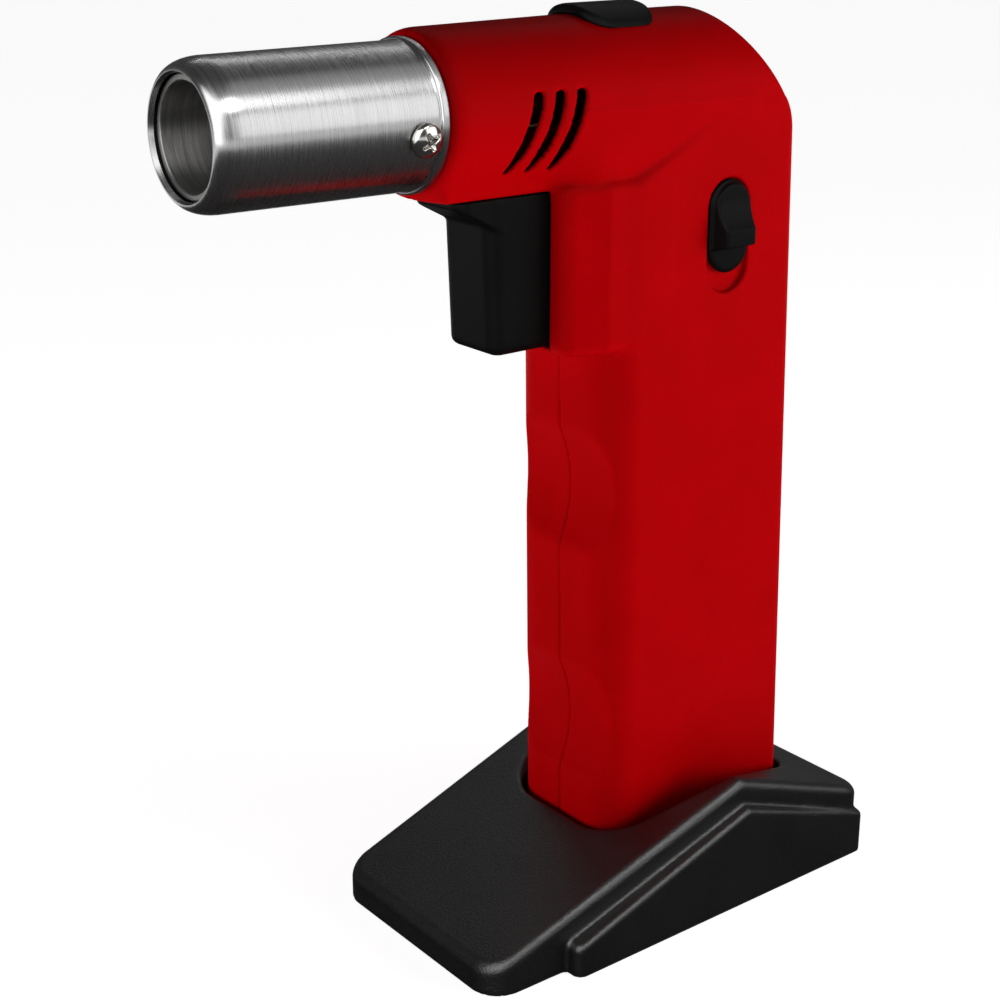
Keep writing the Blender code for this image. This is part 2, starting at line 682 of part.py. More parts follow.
def housing_inside():
    """The hollow of the housing, as one solid."""
    centre = (0, 0, AXIS_Z)
    front = BODY_FRONT_X + FRONT_WALL
    profile = [(front, 0), (front, BODY_FRONT_RADIUS - WALL), (BODY_TAPER_END_X, BODY_RADIUS - WALL)]
    profile += [(BODY_REAR_X - WALL, BODY_RADIUS - WALL), (BODY_REAR_X - WALL, 0)]
    hollow = turned("housing_hollow", profile, centre, "X", INNER_SIDES, CUTTERS, 0.5)
    front_wall = WALL + GROOVE_DEPTH
    heights = (HANDLE_BOTTOM_Z + WALL, BLOCK_BOTTOM_Z + 5)
    low = handle_loft("hollow_low", heights, front_wall, WALL, WALL, TANK_CORNER, TANK_CORNER, CUTTERS)
    rear = handle_rear(AXIS_Z) - WALL
    narrow = BLOCK_FRONT_HALF - WALL
    corners = [(BLOCK_FRONT_X + WALL, -narrow, 0), (BLOCK_FLARE_X, -SHELL_INNER_Y + BLOCK_INSET, 0)]
    corners += [(rear, -SHELL_INNER_Y + BLOCK_INSET, TANK_CORNER), (rear, SHELL_INNER_Y - BLOCK_INSET, TANK_CORNER)]
    corners += [(BLOCK_FLARE_X, SHELL_INNER_Y - BLOCK_INSET, 0), (BLOCK_FRONT_X + WALL, narrow, 0)]
    floor = BLOCK_BOTTOM_Z + BLOCK_FLOOR
    high = extruded("hollow_high", rounded(corners), floor, AXIS_Z - 4, "Z", CUTTERS)
    cut(high, extruded("hollow_shoulder", shoulder_outline(WALL), -BEYOND, BEYOND, "Y", CUTTERS))
    join(hollow, high)
    join(hollow, low)
    slope = math.hypot(HUMP_FOOT_X - HUMP_TOP_X, AXIS_Z + BODY_RADIUS - HUMP_FOOT_Z)
    draw_in = WALL * slope / (AXIS_Z + BODY_RADIUS - HUMP_FOOT_Z)
    cut(hollow, extruded("hollow_hump", hump_outline(draw_in), -BEYOND, BEYOND, "Y", CUTTERS))
    return hollow


def slot_outline(top_x):
    """Side outline of one bowed vent slot, narrower towards its lower end."""
    right = []
    left = []
    steps = 6
    for step in range(steps + 1):
        share = step / steps
        x = top_x - SLOT_LEAN * share + SLOT_BOW * 4 * share * (1 - share)
        z = SLOT_TOP_Z + share * (SLOT_BOTTOM_Z - SLOT_TOP_Z)
        half = SLOT_WIDTH / 2 * min(1, 0.35 + 4 * share, 0.35 + 2.2 * (1 - share))
        right.append((x + half, z))
        left.append((x - half, z))
    return right + left[::-1]


def half_of(whole, name, side):
    """One half of the housing, with the ribs and bosses that both halves have."""
    half = add(name, whole.data.copy(), PARTS)
    axis = (0, 0, AXIS_Z)
    across = -side * BURY
    inner = side * (SHELL_INNER_Y + BURY)
    pin = (LEVER_X, 0, LEVER_Z)
    boss = rod(f"{name}_pin_boss", BOSS_RADIUS, side * (LEVER_HALF + FIT), inner, pin, "Y", MEDIUM_SIDES, CUTTERS)
    cut(boss, hole(f"{name}_pin_hole", PIN_RADIUS + FIT, 0, inner - side * 2 * BURY, pin, "Y"))
    saddle_x = VALVE_OUTLET_X + 3
    saddle = box(f"{name}_valve_rib", (saddle_x, saddle_x + RIB), sorted((across, inner)),
                 (VALVE_Z - VALVE_RADIUS - 1, VALVE_Z + 1), CUTTERS)
    cut(saddle, hole(f"{name}_valve_seat", VALVE_RADIUS + FIT, 0, BEYOND, (0, 0, VALVE_Z), "X"))
    ribs = [boss, saddle]
    for number, x in enumerate((PIEZO_FRONT_X + 4, PIEZO_FRONT_X + 14)):
        reach = sorted((side * (PIEZO_SIDE / 2 + FIT), inner))
        height = (PIEZO_Z - PIEZO_SIDE / 2, PIEZO_Z + PIEZO_SIDE / 2)
        ribs.append(box(f"{name}_piezo_rib_{number}", (x, x + RIB), reach, height, CUTTERS))
    reach = sorted((across, side * BEYOND))
    rib_radius = BODY_FRONT_RADIUS - WALL + BURY
    jet_x = JET_X + JET_LENGTH / 2
    cradle = rod(f"{name}_jet_rib", rib_radius, jet_x - RIB / 2, jet_x + RIB / 2, axis, "X", INNER_SIDES, CUTTERS, 0.25)
    keep(cradle, box(f"{name}_jet_side", (jet_x - RIB, jet_x + RIB), reach, (AXIS_Z - BEYOND, AXIS_Z), CUTTERS))
    cut(cradle, hole(f"{name}_jet_seat", JET_RADIUS + FIT, 0, BEYOND, axis, "X"))
    ribs.append(cradle)
    ring_x = SLEEVE_REAR_X - RIB
    ring = pipe(f"{name}_sleeve_rib", rib_radius, SLEEVE_RADIUS + FIT, ring_x, SLEEVE_REAR_X, axis, "X", INNER_SIDES, CUTTERS,
                0.25)
    keep(ring, box(f"{name}_sleeve_side", (ring_x - 1, SLEEVE_REAR_X + 1), reach, (0, 5 * BEYOND), CUTTERS))
    ribs.append(ring)
    screw_boss = BOSS_RADIUS
    if side > 0:
        screw_boss = SCREW_HEAD_RADIUS + FIT + BOSS_WALL
    for number, (x, z) in enumerate(HOUSING_SCREWS, 1):
        ribs.append(rod(f"{name}_screw_boss_{number}", screw_boss, across, inner, (x, 0, z), "Y", MEDIUM_SIDES, CUTTERS))
    for rib in ribs:
        join(half, rib)
    near = SLOT_INNER_Y * side
    far = BEYOND * side
    for number, top_x in enumerate(SLOT_TOPS_X):
        cut(half, extruded(f"{name}_vent_{number}", slot_outline(top_x), near, far, "Y", CUTTERS))
    reach = sorted((side * SPLIT_GAP / 2, side * BEYOND))
    keep(half, box(f"{name}_side", (-2 * BEYOND, 2 * BEYOND), reach, (-BEYOND, 5 * BEYOND), CUTTERS))
    return half


def build_housing():
    whole = housing_outside()
    cut(whole, housing_inside())
    bore = rod("sleeve_bore", SLEEVE_RADIUS + FIT, BODY_FRONT_X - BURY, BODY_FRONT_X + FRONT_WALL + BURY, (0, 0, AXIS_Z),
               "X", INNER_SIDES, CUTTERS, 0.25)
    cut(whole, bore)
    opening_half = TRIGGER_HALF + FIT
    opening_x = (BLOCK_FRONT_X - BEYOND, TRIGGER_REAR_X + TRIGGER_TRAVEL + FIT)
    opening_z = (BLOCK_BOTTOM_Z + BLOCK_FLOOR, OPENING_TOP_Z)
    opening = box("trigger_opening", opening_x, (-opening_half, opening_half), opening_z, CUTTERS)
    cut(whole, opening)
    top = HANDLE_BOTTOM_Z + WALL + 2
    cut(whole, hole("filler_opening", FILLER_RADIUS + FIT, HANDLE_BOTTOM_Z - 2, top, (FILLER_X, 0, 0), "Z"))
    slot = (LOCK_FRONT_X + LOCK_REAR_X - LOCK_TRAVEL) / 2 - LOCK_STEM_LENGTH / 2
    lock = box("lock_opening", (slot - FIT, slot + LOCK_STEM_LENGTH + LOCK_TRAVEL + FIT),
               (-LOCK_STEM_HALF - FIT, LOCK_STEM_HALF + FIT), (AXIS_Z + BODY_RADIUS - 2 * WALL, AXIS_Z + BEYOND), CUTTERS)
    cut(whole, lock)
    settle(whole)

    left = half_of(whole, "housing_left", -1)
    right = half_of(whole, "housing_right", 1)
    recess = obround(SLIDER_X, SLIDER_BOTTOM_Z - SLIDER_TRAVEL - FIT, SLIDER_TOP_Z + FIT, SLIDER_HALF + FIT)
    cut(left, extruded("slider_recess", recess, -BEYOND, -HANDLE_HALF_WIDTH + SLIDER_SINK, "Y", CUTTERS))
    window = box("slider_window", (SLIDER_X - SLIDER_STEM_HALF - FIT, SLIDER_X + SLIDER_STEM_HALF + FIT),
                 (-BEYOND, -SHELL_INNER_Y + 2), (SLIDER_STEM_BOTTOM_Z - SLIDER_TRAVEL - FIT, SLIDER_STEM_TOP_Z + FIT), CUTTERS)
    cut(left, window)
    for number, (x, z) in enumerate(HOUSING_SCREWS, 1):
        centre = (x, 0, z)
        seat = HANDLE_HALF_WIDTH - SCREW_SINK
        sink = [(seat, SCREW_SHANK_RADIUS + FIT), (seat, SCREW_HEAD_RADIUS + FIT), (BEYOND, SCREW_HEAD_RADIUS + FIT)]
        profile = [(-SCREW_BITE - 1, 0), (-SCREW_BITE - 1, SCREW_SHANK_RADIUS + FIT)] + sink + [(BEYOND, 0)]
        way = turned(f"housing_screw_hole_{number}", profile, centre, "Y", MEDIUM_SIDES, CUTTERS, 0.5)
        cut(left, way)
        cut(right, way)
        head = seat + FIT
        profile = [(-SCREW_BITE, 0), (-SCREW_BITE, SCREW_SHANK_RADIUS), (head, SCREW_SHANK_RADIUS)]
        profile += [(head, SCREW_HEAD_RADIUS), (head + 0.6 * SCREW_HEAD_HEIGHT, SCREW_HEAD_RADIUS)]
        profile += [(head + SCREW_HEAD_HEIGHT, 0.6 * SCREW_HEAD_RADIUS), (head + SCREW_HEAD_HEIGHT, 0)]
        turned(f"housing_screw_{number}", profile, centre, "Y", COARSE_SIDES)


def build_trigger():
    front = TRIGGER_FRONT_X
    lean = TRIGGER_FRONT_X - TRIGGER_LEAN
    rings = []
    for z, x in ((TRIGGER_BOTTOM_Z, front), (TRIGGER_TOP_Z, lean)):
        corners = [(x, -TRIGGER_HALF, TRIGGER_ROUND), (TRIGGER_REAR_X, -TRIGGER_HALF, 0)]
        corners += [(TRIGGER_REAR_X, TRIGGER_HALF, 0), (x, TRIGGER_HALF, TRIGGER_ROUND)]
        rings.append([(a, b, z) for a, b in rounded(corners)])
    trigger = lofted("trigger", rings)
    corners = [(front - 0.05, TRIGGER_BOTTOM_Z - 0.05, TRIGGER_ROUND), (BEYOND, TRIGGER_BOTTOM_Z - 0.05, 0)]
    corners += [(BEYOND, AXIS_Z, 0), (lean - 1, AXIS_Z, 0)]
    keep(trigger, extruded("trigger_side", rounded(corners), -BEYOND, BEYOND, "Y", CUTTERS))
    lip = [(TRIGGER_LIP_X, TRIGGER_TOP_Z - TRIGGER_LIP_TIP), (front + 4, TRIGGER_TOP_Z - TRIGGER_LIP_ROOT)]
    lip += [(front + 4, TRIGGER_TOP_Z - 0.05), (TRIGGER_LIP_X, TRIGGER_TOP_Z - 0.05)]
    lip = extruded("trigger_lip", lip, -TRIGGER_HALF + 0.1, TRIGGER_HALF - 0.1, "Y", CUTTERS)
    half = TRIGGER_HALF - 0.05
    corners = [(TRIGGER_LIP_X - 0.05, -half, TRIGGER_ROUND), (front + 9, -half, 0)]
    corners += [(front + 9, half, 0), (TRIGGER_LIP_X - 0.05, half, TRIGGER_ROUND)]
    keep(lip, extruded("trigger_lip_plan", rounded(corners), TRIGGER_BOTTOM_Z, AXIS_Z, "Z", CUTTERS))
    join(trigger, lip)
    inner = TRIGGER_HALF - TRIGGER_WALL
    pocket = box("trigger_pocket", (front + TRIGGER_WALL, TRIGGER_REAR_X + 5), (-inner, inner),
                 (TRIGGER_BOTTOM_Z + TRIGGER_WALL, TRIGGER_TOP_Z - TRIGGER_WALL), CUTTERS)
    cut(trigger, pocket)
    pad_x = LEVER_X - LEVER_THICK / 2 - LEVER_SLACK
    pad = box("trigger_pad", (front + TRIGGER_WALL / 2, pad_x), (-LEVER_PAD_HALF, LEVER_PAD_HALF),
              (LEVER_Z - LEVER_PAD_LOW, LEVER_Z - LEVER_PAD_HIGH), CUTTERS)
    join(trigger, pad)

    axis = (0, 0, PIEZO_Z)
    rod("piezo_plunger", PLUNGER_RADIUS, PLUNGER_FRONT_X, PIEZO_FRONT_X + PLUNGER_REACH, axis, "X")
    coil("trigger_spring", SPRING_RADIUS, SPRING_WIRE, PLUNGER_FRONT_X, PIEZO_FRONT_X - FIT, SPRING_TURNS, axis, "X")
    side = PIEZO_SIDE / 2
    rear = PIEZO_FRONT_X + PIEZO_LENGTH
    corners = [(-side, PIEZO_Z - side, 1), (side, PIEZO_Z - side, 1), (side, PIEZO_Z + side, 1), (-side, PIEZO_Z + side, 1)]
    piezo = extruded("piezo_igniter", rounded(corners, 2), PIEZO_FRONT_X, rear, "X")
    bore_end = PIEZO_FRONT_X + PIEZO_BORE_DEPTH
    cut(piezo, hole("piezo_bore", PLUNGER_RADIUS + FIT, PIEZO_FRONT_X - 2, bore_end, axis, "X"))
    join(piezo, rod("piezo_terminal", PIEZO_TERMINAL_RADIUS, rear - 1, rear + PIEZO_TERMINAL_LENGTH, axis, "X",
                    COARSE_SIDES, CUTTERS))
    start = rear + PIEZO_TERMINAL_LENGTH + FIT
    end = HOLDER_X - 1 + INSULATOR_LENGTH + 1 + FIT
    line = [(start, 0, PIEZO_Z), (start + 1.4, 0.8, PIEZO_Z), (start + 2.5, 5, PIEZO_Z + 1.5)]
    line += [(start + 3.5, 9, PIEZO_Z + 6), (start + 3, 10, PIEZO_Z + 14), (start - 3, 10, PIEZO_Z + 24)]
    line += [(start - 12, 8.5, AXIS_Z - 4), (start - 24, 8.5, AXIS_Z + 4)]
    line += [(0, 6, SPARK_Z + 1), (end + 8, 1.5, SPARK_Z + 0.5), (end + 3, 0, SPARK_Z), (end, 0, SPARK_Z)]
    tube_along("igniter_lead", smooth_line(line, 3), LEAD_RADIUS)


def build_valve():
    axis = (0, 0, VALVE_Z)
    rear = VALVE_NECK_X + VALVE_NECK_LENGTH
    profile = [(VALVE_FRONT_X, 0), (VALVE_FRONT_X, VALVE_RADIUS), (VALVE_NECK_X, VALVE_RADIUS)]
    profile += [(VALVE_NECK_X, VALVE_NECK_RADIUS), (rear, VALVE_NECK_RADIUS), (rear, 0)]
    valve = turned("valve_body", profile, axis, "X", MEDIUM_SIDES)
    join(valve, rod("valve_outlet", VALVE_OUTLET_RADIUS, VALVE_Z, VALVE_OUTLET_Z, (VALVE_OUTLET_X, 0, 0), "Z",
                    COARSE_SIDES, CUTTERS))
    bore_end = VALVE_FRONT_X + STEM_BORE_DEPTH
    cut(valve, hole("valve_bore", STEM_RADIUS + FIT, VALVE_FRONT_X - 2, bore_end, axis, "X", COARSE_SIDES))

    reach = 2.5
    inlet = rod("valve_inlet", VALVE_RADIUS, INLET_X - reach, INLET_X + INLET_LENGTH, axis, "X")
    plug_bottom = TANK_TOP_Z - LID_PLUG
    pipe_bottom = plug_bottom + 2.2
    join(inlet, rod("inlet_pipe", INLET_PIPE_RADIUS, pipe_bottom, VALVE_Z, (DIP_X, 0, 0), "Z", MEDIUM_SIDES, CUTTERS))
    cut(inlet, hole("inlet_bore", VALVE_NECK_RADIUS + FIT, INLET_X - 2 * reach, INLET_X + FIT, axis, "X"))

    profile = [(STEM_TIP_X, 0)]
    for step in range(1, 5):
        angle = math.pi / 2 * step / 4
        x = STEM_TIP_X + STEM_HEAD_RADIUS * (1 - math.cos(angle))
        profile.append((x, STEM_HEAD_RADIUS * math.sin(angle)))
    profile += [(STEM_TIP_X + STEM_HEAD_RADIUS, STEM_RADIUS), (STEM_TIP_X + STEM_LENGTH, STEM_RADIUS)]
    profile += [(STEM_TIP_X + STEM_LENGTH, 0)]
    turned("valve_stem", profile, axis, "X", COARSE_SIDES)

    half = LEVER_THICK / 2
    lever = rod("valve_lever", LEVER_EYE_RADIUS, -LEVER_HALF, LEVER_HALF, (LEVER_X, 0, LEVER_Z), "Y")
    join(lever, box("lever_arm", (LEVER_X - half, LEVER_X + half), (-LEVER_HALF + 0.1, LEVER_HALF - 0.1),
                    (LEVER_Z - LEVER_REACH, LEVER_Z), CUTTERS))
    cut(lever, hole("lever_eye", PIN_RADIUS + FIT, -BEYOND, BEYOND, (LEVER_X, 0, LEVER_Z), "Y"))
    pin_half = SHELL_INNER_Y + BURY - 2 * BURY - FIT
    rod("lever_pin", PIN_RADIUS, -pin_half, pin_half, (LEVER_X, 0, LEVER_Z), "Y")

    jet_tail = JET_X + JET_LENGTH + JET_TAIL_LENGTH + FIT
    low = VALVE_OUTLET_Z + FIT
    line = [(VALVE_OUTLET_X, 0, low), (VALVE_OUTLET_X, 0, low + 3), (VALVE_OUTLET_X - 2.5, 0, AXIS_Z - 4.5)]
    line += [(jet_tail + 3.5, 0, AXIS_Z - 0.3), (jet_tail, 0, AXIS_Z)]
    tube_along("gas_hose", smooth_line(line, 4), HOSE_RADIUS)

    front = VALVE_NECK_X + FIT
    collar_rear = INLET_X - reach - FIT
    collar = rod("regulator_collar", COLLAR_RADIUS, front, collar_rear, axis, "X")
    middle = SLIDER_X
    thick = COLLAR_ARM_THICK / 2
    join(collar, box("collar_arm", (middle - thick, middle + thick), (-COLLAR_ARM, 0), (VALVE_Z - 0.6, VALVE_Z + 0.6), CUTTERS))
    ball = []
    for step in range(7):
        angle = math.pi * step / 6
        ball.append((-COLLAR_BALL_RADIUS * math.cos(angle), COLLAR_BALL_RADIUS * math.sin(angle)))
    join(collar, turned("collar_ball", ball, (middle, -COLLAR_ARM, VALVE_Z), "X", COARSE_SIDES, CUTTERS))
    cut(collar, hole("collar_bore", COLLAR_BORE, 0, BEYOND, axis, "X"))


def build_slider():
    face = HANDLE_HALF_WIDTH + SLIDER_PROUD
    floor = HANDLE_HALF_WIDTH - SLIDER_SINK + FIT
    crest = face + SLIDER_CREST_HEIGHT
    low = SLIDER_CREST_Z - SLIDER_CREST_FLAT / 2
    high = SLIDER_CREST_Z + SLIDER_CREST_FLAT / 2
    side = [(-floor, SLIDER_BOTTOM_Z - 1), (-face, SLIDER_BOTTOM_Z - 1), (-face, low - 1), (-crest, low), (-crest, high)]
    side += [(-face - 1.2, high + 2.6), (-face - 0.2, high + 5.4), (-face + 0.3, SLIDER_TOP_Z + 1), (-floor, SLIDER_TOP_Z + 1)]
    slider = extruded("flame_slider", side, SLIDER_X - 2 * SLIDER_HALF, SLIDER_X + 2 * SLIDER_HALF, "X")
    outline = obround(SLIDER_X, SLIDER_BOTTOM_Z, SLIDER_TOP_Z, SLIDER_HALF)
    keep(slider, extruded("slider_outline", outline, -BEYOND, 0, "Y", CUTTERS))
    plate_y = SHELL_INNER_Y - FIT
    stem_x = (SLIDER_X - SLIDER_STEM_HALF, SLIDER_X + SLIDER_STEM_HALF)
    stem_z = (SLIDER_STEM_BOTTOM_Z, SLIDER_STEM_TOP_Z)
    join(slider, box("slider_stem", stem_x, (-floor - 0.6, -plate_y + 0.6), stem_z, CUTTERS))
    plate_x = (SLIDER_X - SLIDER_HALF + 0.5, SLIDER_X + SLIDER_HALF - 0.5)
    plate_z = (SLIDER_STEM_BOTTOM_Z - 2, SLIDER_STEM_TOP_Z + 1)
    join(slider, box("slider_plate", plate_x, (-plate_y, -plate_y + SLIDER_PLATE), plate_z, CUTTERS))
    prong = COLLAR_BALL_RADIUS + FIT
    for name, low_z, high_z in (("high", prong, prong + SLIDER_FORK_THICK), ("low", -prong - SLIDER_FORK_THICK, -prong)):
        join(slider, box(f"slider_prong_{name}", (SLIDER_X - 1.6, SLIDER_X + 1.6),
                         (-plate_y + SLIDER_PLATE - 0.5, -COLLAR_ARM + COLLAR_BALL_RADIUS), (VALVE_Z + low_z, VALVE_Z + high_z),
                         CUTTERS))


def build_lock():
    corners = [(LOCK_FRONT_X, -LOCK_HALF, LOCK_ROUND), (LOCK_REAR_X, -LOCK_HALF, LOCK_ROUND)]
    corners += [(LOCK_REAR_X, LOCK_HALF, LOCK_ROUND), (LOCK_FRONT_X, LOCK_HALF, LOCK_ROUND)]
    middle = (LOCK_FRONT_X + LOCK_REAR_X) / 2
    rings = []
    for z, share in ((AXIS_Z + BODY_RADIUS / 2, 1), (LOCK_TOP_Z - 1, 1), (LOCK_TOP_Z - 0.3, 0.93), (LOCK_TOP_Z, 0.83)):
        rings.append([(middle + (x - middle) * share, y * share, z) for x, y in rounded(corners)])
    button = lofted("lock_button", rings)
    round_body = rod("lock_saddle", BODY_RADIUS + FIT, -BEYOND, BEYOND, (0, 0, AXIS_Z), "X", FINE_SIDES, CUTTERS)
    cut(button, round_body)
    start = (LOCK_FRONT_X + LOCK_REAR_X - LOCK_TRAVEL) / 2 - LOCK_STEM_LENGTH / 2
    clip_top = AXIS_Z + BODY_RADIUS - WALL - FIT - 1
    stem_bottom = clip_top - LOCK_CLIP_THICK - 1
    stem = box("lock_stem", (start, start + LOCK_STEM_LENGTH), (-LOCK_STEM_HALF, LOCK_STEM_HALF),
               (stem_bottom, LOCK_TOP_Z - 0.4), CUTTERS)
    join(button, stem)
    clip = box("lock_clip", (start - 2, start + LOCK_STEM_LENGTH + 2), (-LOCK_CLIP_HALF, LOCK_CLIP_HALF),
               (clip_top - LOCK_CLIP_THICK, clip_top))
    cut(clip, box("lock_clip_hole", (start - FIT, start + LOCK_STEM_LENGTH + FIT),
                  (-LOCK_STEM_HALF - FIT, LOCK_STEM_HALF + FIT), (clip_top - 9, clip_top + 9), CUTTERS))


def build_tank():
    front = WALL + GROOVE_DEPTH + TANK_GAP
    side = WALL + TANK_GAP
    corner = TANK_CORNER - TANK_GAP
    heights = (TANK_BOTTOM_Z, TANK_TOP_Z)
    tank = handle_loft("fuel_tank", heights, front, side, side, corner, corner, PARTS)
    inner = corner - TANK_WALL
    inside = (TANK_BOTTOM_Z + TANK_WALL, TANK_TOP_Z + 5)
    hollow = handle_loft("tank_hollow", inside, front + TANK_WALL, side + TANK_WALL, side + TANK_WALL, inner, inner, CUTTERS)
    cut(tank, hollow)
    cut(tank, hole("tank_filler_hole", FILLER_SPIGOT_RADIUS + FIT, 0, 2 * TANK_BOTTOM_Z, (FILLER_X, 0, 0), "Z"))
    gasket_z = (TANK_TOP_Z + FIT, TANK_TOP_Z + FIT + GASKET_THICK)
    gasket = handle_loft("tank_gasket", gasket_z, front, side, side, corner, corner, PARTS)
    hole_z = (TANK_TOP_Z - 4, TANK_TOP_Z + 6)
    cut(gasket, handle_loft("gasket_hole", hole_z, front + TANK_WALL, side + TANK_WALL, side + TANK_WALL, inner, inner, CUTTERS))
    lid = handle_loft("tank_lid", (LID_Z, LID_Z + LID_THICK), front, side, side, corner, corner, PARTS)
    draw = TANK_WALL + FIT
    plug_bottom = TANK_TOP_Z - LID_PLUG
    plug = handle_loft("lid_plug", (plug_bottom, LID_Z + 1), front + draw, side + draw, side + draw,
                       inner - FIT, inner - FIT, CUTTERS)
    join(lid, plug)
    pipe_bottom = plug_bottom + 2
    profile = [(plug_bottom - 2, 0), (plug_bottom - 2, DIP_RADIUS + FIT), (pipe_bottom, DIP_RADIUS + FIT)]
    profile += [(pipe_bottom, INLET_PIPE_RADIUS + FIT), (LID_Z + 9, INLET_PIPE_RADIUS + FIT), (LID_Z + 9, 0)]
    cut(lid, turned("lid_hole", profile, (DIP_X, 0, 0), "Z", MEDIUM_SIDES, CUTTERS))
    pipe("dip_tube", DIP_RADIUS, DIP_RADIUS - DIP_WALL, DIP_FOOT_Z, pipe_bottom - 0.1, (DIP_X, 0, 0), "Z", COARSE_SIDES)


def build_filler():
    centre = (FILLER_X, 0, 0)
    bottom = FILLER_BOTTOM_Z
    bore_top = FILLER_SPIGOT_TOP_Z - FILLER_BORE_TOP
    mouth = FILLER_STEM_RADIUS + FIT
    flange_low = FILLER_FLANGE_TOP_Z - FILLER_FLANGE_THICK
    profile = [(bottom, mouth), (bottom, FILLER_RADIUS), (flange_low, FILLER_RADIUS), (flange_low, FILLER_FLANGE_RADIUS)]
    profile += [(FILLER_FLANGE_TOP_Z, FILLER_FLANGE_RADIUS), (FILLER_FLANGE_TOP_Z, FILLER_SPIGOT_RADIUS)]
    profile += [(FILLER_SPIGOT_TOP_Z, FILLER_SPIGOT_RADIUS), (FILLER_SPIGOT_TOP_Z, mouth), (bore_top, mouth)]
    profile += [(bore_top, FILLER_BORE_RADIUS), (bottom + FILLER_LIP, FILLER_BORE_RADIUS), (bottom + FILLER_LIP, mouth)]
    turned("filler_body", profile, centre, "Z", COARSE_SIDES)
    seal_low = FILLER_FLANGE_TOP_Z + FIT
    pipe("filler_seal", FILLER_FLANGE_RADIUS - FIT, FILLER_SPIGOT_RADIUS + FIT, seal_low, seal_low + FILLER_SEAL_THICK,
         centre, "Z")
    collar_low = bottom + FILLER_LIP + FIT
    collar_high = collar_low + FILLER_STEM_COLLAR
    collar = FILLER_BORE_RADIUS - FIT
    tail = FILLER_STEM_RADIUS - 0.2
    profile = [(bottom + FIT, 0), (bottom + FIT, FILLER_STEM_RADIUS), (collar_low, FILLER_STEM_RADIUS), (collar_low, collar)]
    profile += [(collar_high, collar), (collar_high, tail), (collar_high + FILLER_STEM_TAIL, tail)]
    profile += [(collar_high + FILLER_STEM_TAIL, 0)]
    turned("filler_stem", profile, centre, "Z", COARSE_SIDES)
    radius = collar - FILLER_WIRE
    coil("filler_spring", radius, FILLER_WIRE, collar_high + FIT, bore_top - FIT, FILLER_TURNS, centre, "Z")


def stand_height(x, drop):
    """Height of the stand's upper surface along its length."""
    if x < STAND_PEAK_X:
        return STAND_EDGE_HEIGHT + STAND_SLOPE * (x - STAND_FRONT_X) - drop
    peak = STAND_EDGE_HEIGHT + STAND_SLOPE * (STAND_PEAK_X - STAND_FRONT_X)
    share = (x - STAND_PEAK_X) / (STAND_REAR_X - STAND_PEAK_X)
    return peak + share * (STAND_REAR_HEIGHT - peak) - drop


def stand_side(front, rear, bottom, drop, edge):
    """Side outline of the stand between two ends, its top lowered by drop."""
    corners = [(front, bottom, 0), (rear, bottom, 0), (rear, stand_height(rear, drop), edge)]
    corners += [(STAND_PEAK_X, stand_height(STAND_PEAK_X, drop), edge), (front, stand_height(front, drop), edge)]
    return rounded(corners)


def stand_plan(front, rear, halves, corner):
    """Plan outline of the stand; halves are its half widths at the front, the peak and the rear."""
    low, middle, high = halves
    corners = [(front, -low, corner), (STAND_PEAK_X, -middle, 0), (rear, -high, corner)]
    corners += [(rear, high, corner), (STAND_PEAK_X, middle, 0), (front, low, corner)]
    return rounded(corners)


